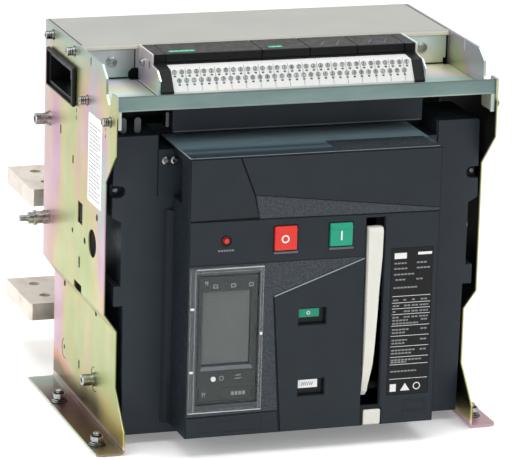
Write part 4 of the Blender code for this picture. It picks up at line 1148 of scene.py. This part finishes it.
def module_details():
    """Engraved strokes and small green windows on the module covers, and a strip over one joint."""
    plane = top_plane(MODULE_TOP)
    width = (BLOCK_HIGH.x - BLOCK_LOW.x) / 5.0
    lines = bmesh.new()
    for index in (3, 4):
        left = BLOCK_LOW.x + index * width
        for shift in (8.0, 26.0):
            path = [
                (left + shift, -44.0),
                (left + shift + 6.0, -44.0),
                (left + shift + 16.0, -24.0),
                (left + shift + 22.0, -24.0),
            ]
            for (u1, v1), (u2, v2) in zip(path, path[1:]):
                along = Vector((u2 - u1, v2 - v1)).normalized()
                across = Vector((-along.y, along.x)) * 0.5
                quad = [
                    (u1 - across.x, v1 - across.y),
                    (u2 - across.x, v2 - across.y),
                    (u2 + across.x, v2 + across.y),
                    (u1 + across.x, v1 + across.y),
                ]
                add_prism(lines, plane, quad, 0.0, 0.15)
    # the strokes take the lighter charcoal of painted highlights
    make_piece("module_strokes", lines, "charcoal_plastic", LIT_CHARCOAL)
    mesh = bmesh.new()
    add_bar(mesh, plane, (-128.0, -98.0, -44.0, -36.0), 0.0, 0.3)
    add_bar(mesh, plane, (-14.0, 2.0, -43.0, -35.0), 0.0, 0.3)
    make_piece("module_windows", mesh, "green_plastic")
    mesh = bmesh.new()
    for start, count in ((-126.5, 5), (-10.5, 2)):
        for index in range(count):
            u = start + index * 5.6
            add_bar(mesh, plane, (u, u + 4.0, -42.0, -38.6), 0.2, 0.45)
    make_piece("module_window_marks", mesh, "green_plastic", PALE_GREEN)
    mesh = bmesh.new()
    joint = BLOCK_LOW.x + width
    # the first two covers read as one wide module, so this strip closes the joint between them
    add_bar(mesh, plane, (joint - 0.9, joint + 0.9, -49.8, -2.4), -0.6, 0.06)
    add_bar(mesh, front_plane(MODULE_FRONT), (joint - 0.9, joint + 0.9, 408.6, MODULE_TOP), -0.6, 0.06)
    make_piece("module_bridge", mesh, "black_plastic")


# ---------------- side plates

# Places on a side plate as (y, z), followed by width and height or by a radius
SLOTS = (
    (-13.8, 180.3, 6.6, 15.0), (68.7, 310.3, 5.6, 12.0), (17.2, 288.8, 5.6, 11.0),
    (-34.4, 209.8, 8.6, 8.6), (-81.5, 248.3, 8.6, 8.6), (15.2, 208.8, 6.6, 6.6),
    (6.5, 346.0, 3.0, 6.0), (6.5, 338.0, 3.0, 6.0),
    (-109.8, 353.3, 3.0, 5.0), (-109.8, 345.8, 3.0, 5.0),
)
PLATE_SCREWS = ((105.0, 409.0), (18.0, 409.7), (-36.6, 367.8), (-126.5, 365.0))
PLATE_STUD = (117.0, 311.0)
FOOT_SLOTS = ((93.5, 125.0, 8.6, 8.6), (-35.0, 127.0, 8.6, 8.6), (30.2, 48.3, 5.6, 12.0))
FOOT_SCREW = (-32.0, 50.0)
BLANKED_HOLES = ((91.5, 48.3, 10.9), (*FOOT_SCREW, 13.3))
FILLER_HOLE = (93.0, 50.0)
FOOT_BOLT_X = {-1: -222.0, 1: 213.0}
FOOT_BOLT_Y = (42.5, -112.7)
LABEL_REGION = (43.8, 96.8, 259.3, 357.3)


def slot_backing_and_shade(side):
    """Dark sheets just inside the small slots and holes of one side plate: the dark mouldings behind them
    and painted shade.
    """
    name = "left" if side < 0 else "right"
    mesh = bmesh.new()
    for face, slots in ((PLATE_FACE[side], SLOTS), (FOOT_FACE[side], FOOT_SLOTS)):
        plane = side_plane(side, face)
        for y, z, width, height in slots:
            outline = rectangle(side * y - width / 2, side * y + width / 2, z - height / 2, z + height / 2)
            # painted shade: dark sheet just inside each slot and hole
            add_prism(mesh, plane, outline, -1.5, -0.5)
    make_piece(f"slot_backing_and_shade_{name}", mesh, "black_plastic", SEAM)


def side_fasteners(side):
    """Screws and bolts of one side plate, with painted shade rings round their feet and between their parts,
    and their sockets.
    """
    name = "left" if side < 0 else "right"
    plane = side_plane(side, PLATE_FACE[side])
    wall = side_plane(side, FOOT_FACE[side])
    stud = (side * PLATE_STUD[0], PLATE_STUD[1])
    screw = (side * FOOT_SCREW[0], FOOT_SCREW[1])
    steel = bmesh.new()
    fills = bmesh.new()
    bands = bmesh.new()
    sockets = bmesh.new()
    for y, z in PLATE_SCREWS:
        u = side * y
        profile = [(0.0, 5.6), (1.4, 5.6), (1.4, 4.8), (3.0, 4.8), (3.0, 4.4), (8.6, 4.4), (9.4, 3.4)]
        add_turned(steel, plane, (u, z), profile)
        # painted shade rings round the screw's foot and between its steps
        add_turned(bands, plane, (u, z), [(0.0, 6.0), (0.3, 6.0)])
        for height in (3.0, 5.0, 6.8):
            add_turned(bands, plane, (u, z), [(height, 4.6), (height + 0.7, 4.6)])
    add_turned(steel, plane, stud, [(0.0, 8.5), (2.0, 8.5), (2.0, 7.4), (4.0, 7.4)])
    add_turned(steel, plane, stud, [(4.0, 6.5), (16.0, 6.5), (17.0, 5.6)])
    for y, z, radius in BLANKED_HOLES:
        add_turned(fills, wall, (side * y, z), [(-1.6, radius), (-0.4, radius)])
    profile = [(-0.4, 7.6), (2.0, 7.6), (2.0, 8.4), (3.6, 8.4), (3.6, 6.6), (13.6, 6.6), (14.6, 5.8)]
    add_turned(steel, wall, screw, profile)
    for y in FOOT_BOLT_Y:
        foot_bolt(steel, bands, (FOOT_BOLT_X[side], y))
    add_prism(sockets, plane, disc(*stud, 3.6, 6), 16.9, 17.05)
    add_prism(sockets, wall, disc(*screw, 3.2, 6), 14.5, 14.7)
    add_prism(sockets, wall, disc(side * FILLER_HOLE[0], FILLER_HOLE[1], 2.6, 12), -0.5, -0.3)
    for y, z in PLATE_SCREWS:
        for half_width, half_height in ((0.5, 2.4), (2.4, 0.5)):
            u = side * y
            stroke = (u - half_width, u + half_width, z - half_height, z + half_height)
            add_bar(sockets, plane, stroke, 9.3, 9.5)
    make_piece(f"side_fasteners_{name}", steel, "plain_steel", smooth=True)
    make_piece(f"hole_fillers_{name}", fills, "yellow_zinc")
    make_piece(f"fastener_shade_rings_{name}", bands, "black_plastic", SEAM)
    make_piece(f"side_sockets_{name}", sockets, "black_plastic", DARK_MARK)


def foot_bolt(steel, bands, centre):
    """Washer, hexagon head and bolt end on a foot, with painted shade rings round the washer and between the
    parts.
    """
    foot = top_plane(FOOT_TOP)
    add_turned(steel, foot, centre, [(0.0, 9.2), (1.8, 9.2), (1.8, 8.2), (3.8, 8.2)])
    add_prism(steel, foot, disc(*centre, 7.7, 6, turn=0.4), 4.4, 10.0)
    add_turned(steel, foot, centre, [(10.0, 4.0), (13.4, 4.0), (14.4, 3.2)])
    # painted shade rings round the washer and between the bolt's parts
    add_turned(bands, foot, centre, [(0.0, 9.9), (0.35, 9.9)])
    for height, radius in ((1.7, 8.7), (3.8, 7.6), (10.0, 5.6), (12.0, 4.2)):
        add_turned(bands, foot, centre, [(height, radius), (height + 0.6, radius)])


def side_label():
    """Plain white label with grey lines on the left side plate."""
    plane = side_plane(-1, PLATE_FACE[-1])
    mesh = bmesh.new()
    outline = rounded_rectangle(*LABEL_REGION, 3.0)
    add_prism(mesh, plane, outline, 0.0, 0.25)
    make_piece("side_label", mesh, "white_plastic", LABEL)
    mesh = bmesh.new()
    left = LABEL_REGION[0] + 5.0
    for row in range(20):
        v = 345.3 - row * 4.2
        length = (40.0, 30.0, 44.0, 36.0, 42.0)[row % 5]
        u = left
        while u < left + length - 2.0:
            add_bar(mesh, plane, (u, u + 4.6, v, v + 1.5), 0.24, 0.32)
            u += 6.2
    make_piece("side_label_lines", mesh, "black_plastic", FAINT_PRINT)


# ---------------- stage

CAMERA_AZIMUTH = math.radians(-18.60)
CAMERA_ELEVATION = math.radians(15.39)
CAMERA_ROLL = math.radians(1.63)
CAMERA_DISTANCE = 4.2325
CAMERA_TARGET = Vector((-0.0017, -0.0535, 0.200))
CAMERA_LENS = 261.8
FLOOR_GLOW = 0.22


def add_camera():
    back = Vector((
        math.sin(CAMERA_AZIMUTH) * math.cos(CAMERA_ELEVATION),
        -math.cos(CAMERA_AZIMUTH) * math.cos(CAMERA_ELEVATION),
        math.sin(CAMERA_ELEVATION),
    ))
    level_right = Vector((math.cos(CAMERA_AZIMUTH), math.sin(CAMERA_AZIMUTH), 0.0))
    level_up = back.cross(level_right)
    right = level_right * math.cos(CAMERA_ROLL) + level_up * math.sin(CAMERA_ROLL)
    up = level_up * math.cos(CAMERA_ROLL) - level_right * math.sin(CAMERA_ROLL)
    data = bpy.data.cameras.new("camera")
    data.lens = CAMERA_LENS
    data.sensor_width = 36.0
    data.clip_end = 100.0
    camera = new_object("camera", data)
    rotation = Matrix((right, up, back)).transposed().to_4x4()
    camera.matrix_world = Matrix.Translation(CAMERA_TARGET + back * CAMERA_DISTANCE) @ rotation
    bpy.context.scene.camera = camera


def add_area_light(name, location, target, width, height, power):
    data = bpy.data.lights.new(name, "AREA")
    data.shape = "RECTANGLE"
    data.size = width
    data.size_y = height
    data.energy = power
    light = new_object(name, data)
    direction = Vector(target) - Vector(location)
    light.location = location
    light.rotation_mode = "QUATERNION"
    light.rotation_quaternion = direction.to_track_quat("-Z", "Y")


def add_lights():
    centre = (0.0, 0.0, 0.2)
    add_area_light("top_softbox", (0.0, -0.3, 2.2), centre, 2.4, 2.0, 40.0)
    add_area_light("left_softbox", (-2.4, -0.9, 1.1), centre, 1.6, 1.8, 18.0)
    add_area_light("front_softbox", (0.9, -3.0, 1.5), centre, 1.8, 1.4, 14.0)


def add_world():
    """Studio surroundings: pale behind and to the sides, darker behind the camera."""
    world = bpy.data.worlds.new("studio")
    bpy.context.scene.world = world
    world.use_nodes = True
    tree = world.node_tree
    background = tree.nodes["Background"]
    coordinates = tree.nodes.new("ShaderNodeTexCoord")
    separate = tree.nodes.new("ShaderNodeSeparateXYZ")
    ramp = tree.nodes.new("ShaderNodeValToRGB")
    span = tree.nodes.new("ShaderNodeMapRange")
    span.inputs["From Min"].default_value = -1.0
    span.inputs["From Max"].default_value = 1.0
    tree.links.new(coordinates.outputs["Generated"], separate.inputs["Vector"])
    tree.links.new(separate.outputs["Y"], span.inputs["Value"])
    tree.links.new(span.outputs["Result"], ramp.inputs["Fac"])
    tree.links.new(ramp.outputs["Color"], background.inputs["Color"])
    ramp.color_ramp.elements[0].position = 0.08
    ramp.color_ramp.elements[0].color = (0.34, 0.35, 0.36, 1.0)
    ramp.color_ramp.elements[1].position = 0.42
    ramp.color_ramp.elements[1].color = (1.0, 1.0, 1.0, 1.0)
    background.inputs["Strength"].default_value = 0.8


def add_floor():
    look = Look("floor_look", 0.85, specular=0.1)
    look.colour(look.ramp(look.noise(2.0, 1.0), [(0.3, (247, 247, 247)), (0.7, (250, 250, 250))]))
    look.set("Emission Color", (1.0, 1.0, 1.0, 1.0))
    look.set("Emission Strength", FLOOR_GLOW)
    mesh = bmesh.new()
    bmesh.ops.create_circle(mesh, cap_ends=True, segments=64, radius=14.0)
    data = bpy.data.meshes.new("floor")
    mesh.to_mesh(data)
    mesh.free()
    floor = new_object("floor", data)
    floor.location = (0.0, 0.0, -0.0006)
    data.materials.append(look.material)


def build():
    bpy.context.scene.view_settings.view_transform = "Standard"
    dress_cad_nodes()
    cover_panels()
    cover_seams()
    cover_top_ribs()
    button_surrounds()
    push_button("off_button", OFF_BUTTON, "red_plastic")
    push_button("on_button", ON_BUTTON, "green_plastic")
    button_marks()
    reset_ring()
    window_frames()
    flag_plate("contact_flag", CONTACT_WINDOW, "green_plastic", "red_plastic")
    flag_plate("spring_flag", SPRING_WINDOW, "white_plastic", "ivory_plastic")
    flag_marks()
    rating_plate_print()
    cover_knock_out()
    trip_unit_details()
    trip_cover_details()
    body_screws()
    body_tabs()
    tray_fasteners()
    sheet_seams_and_shade()
    closing_spring_coil()
    terminal_screws()
    module_details()
    for side in (-1, 1):
        slot_backing_and_shade(side)
        side_fasteners(side)
    side_label()
    add_camera()
    add_lights()
    add_world()
    add_floor()


build()
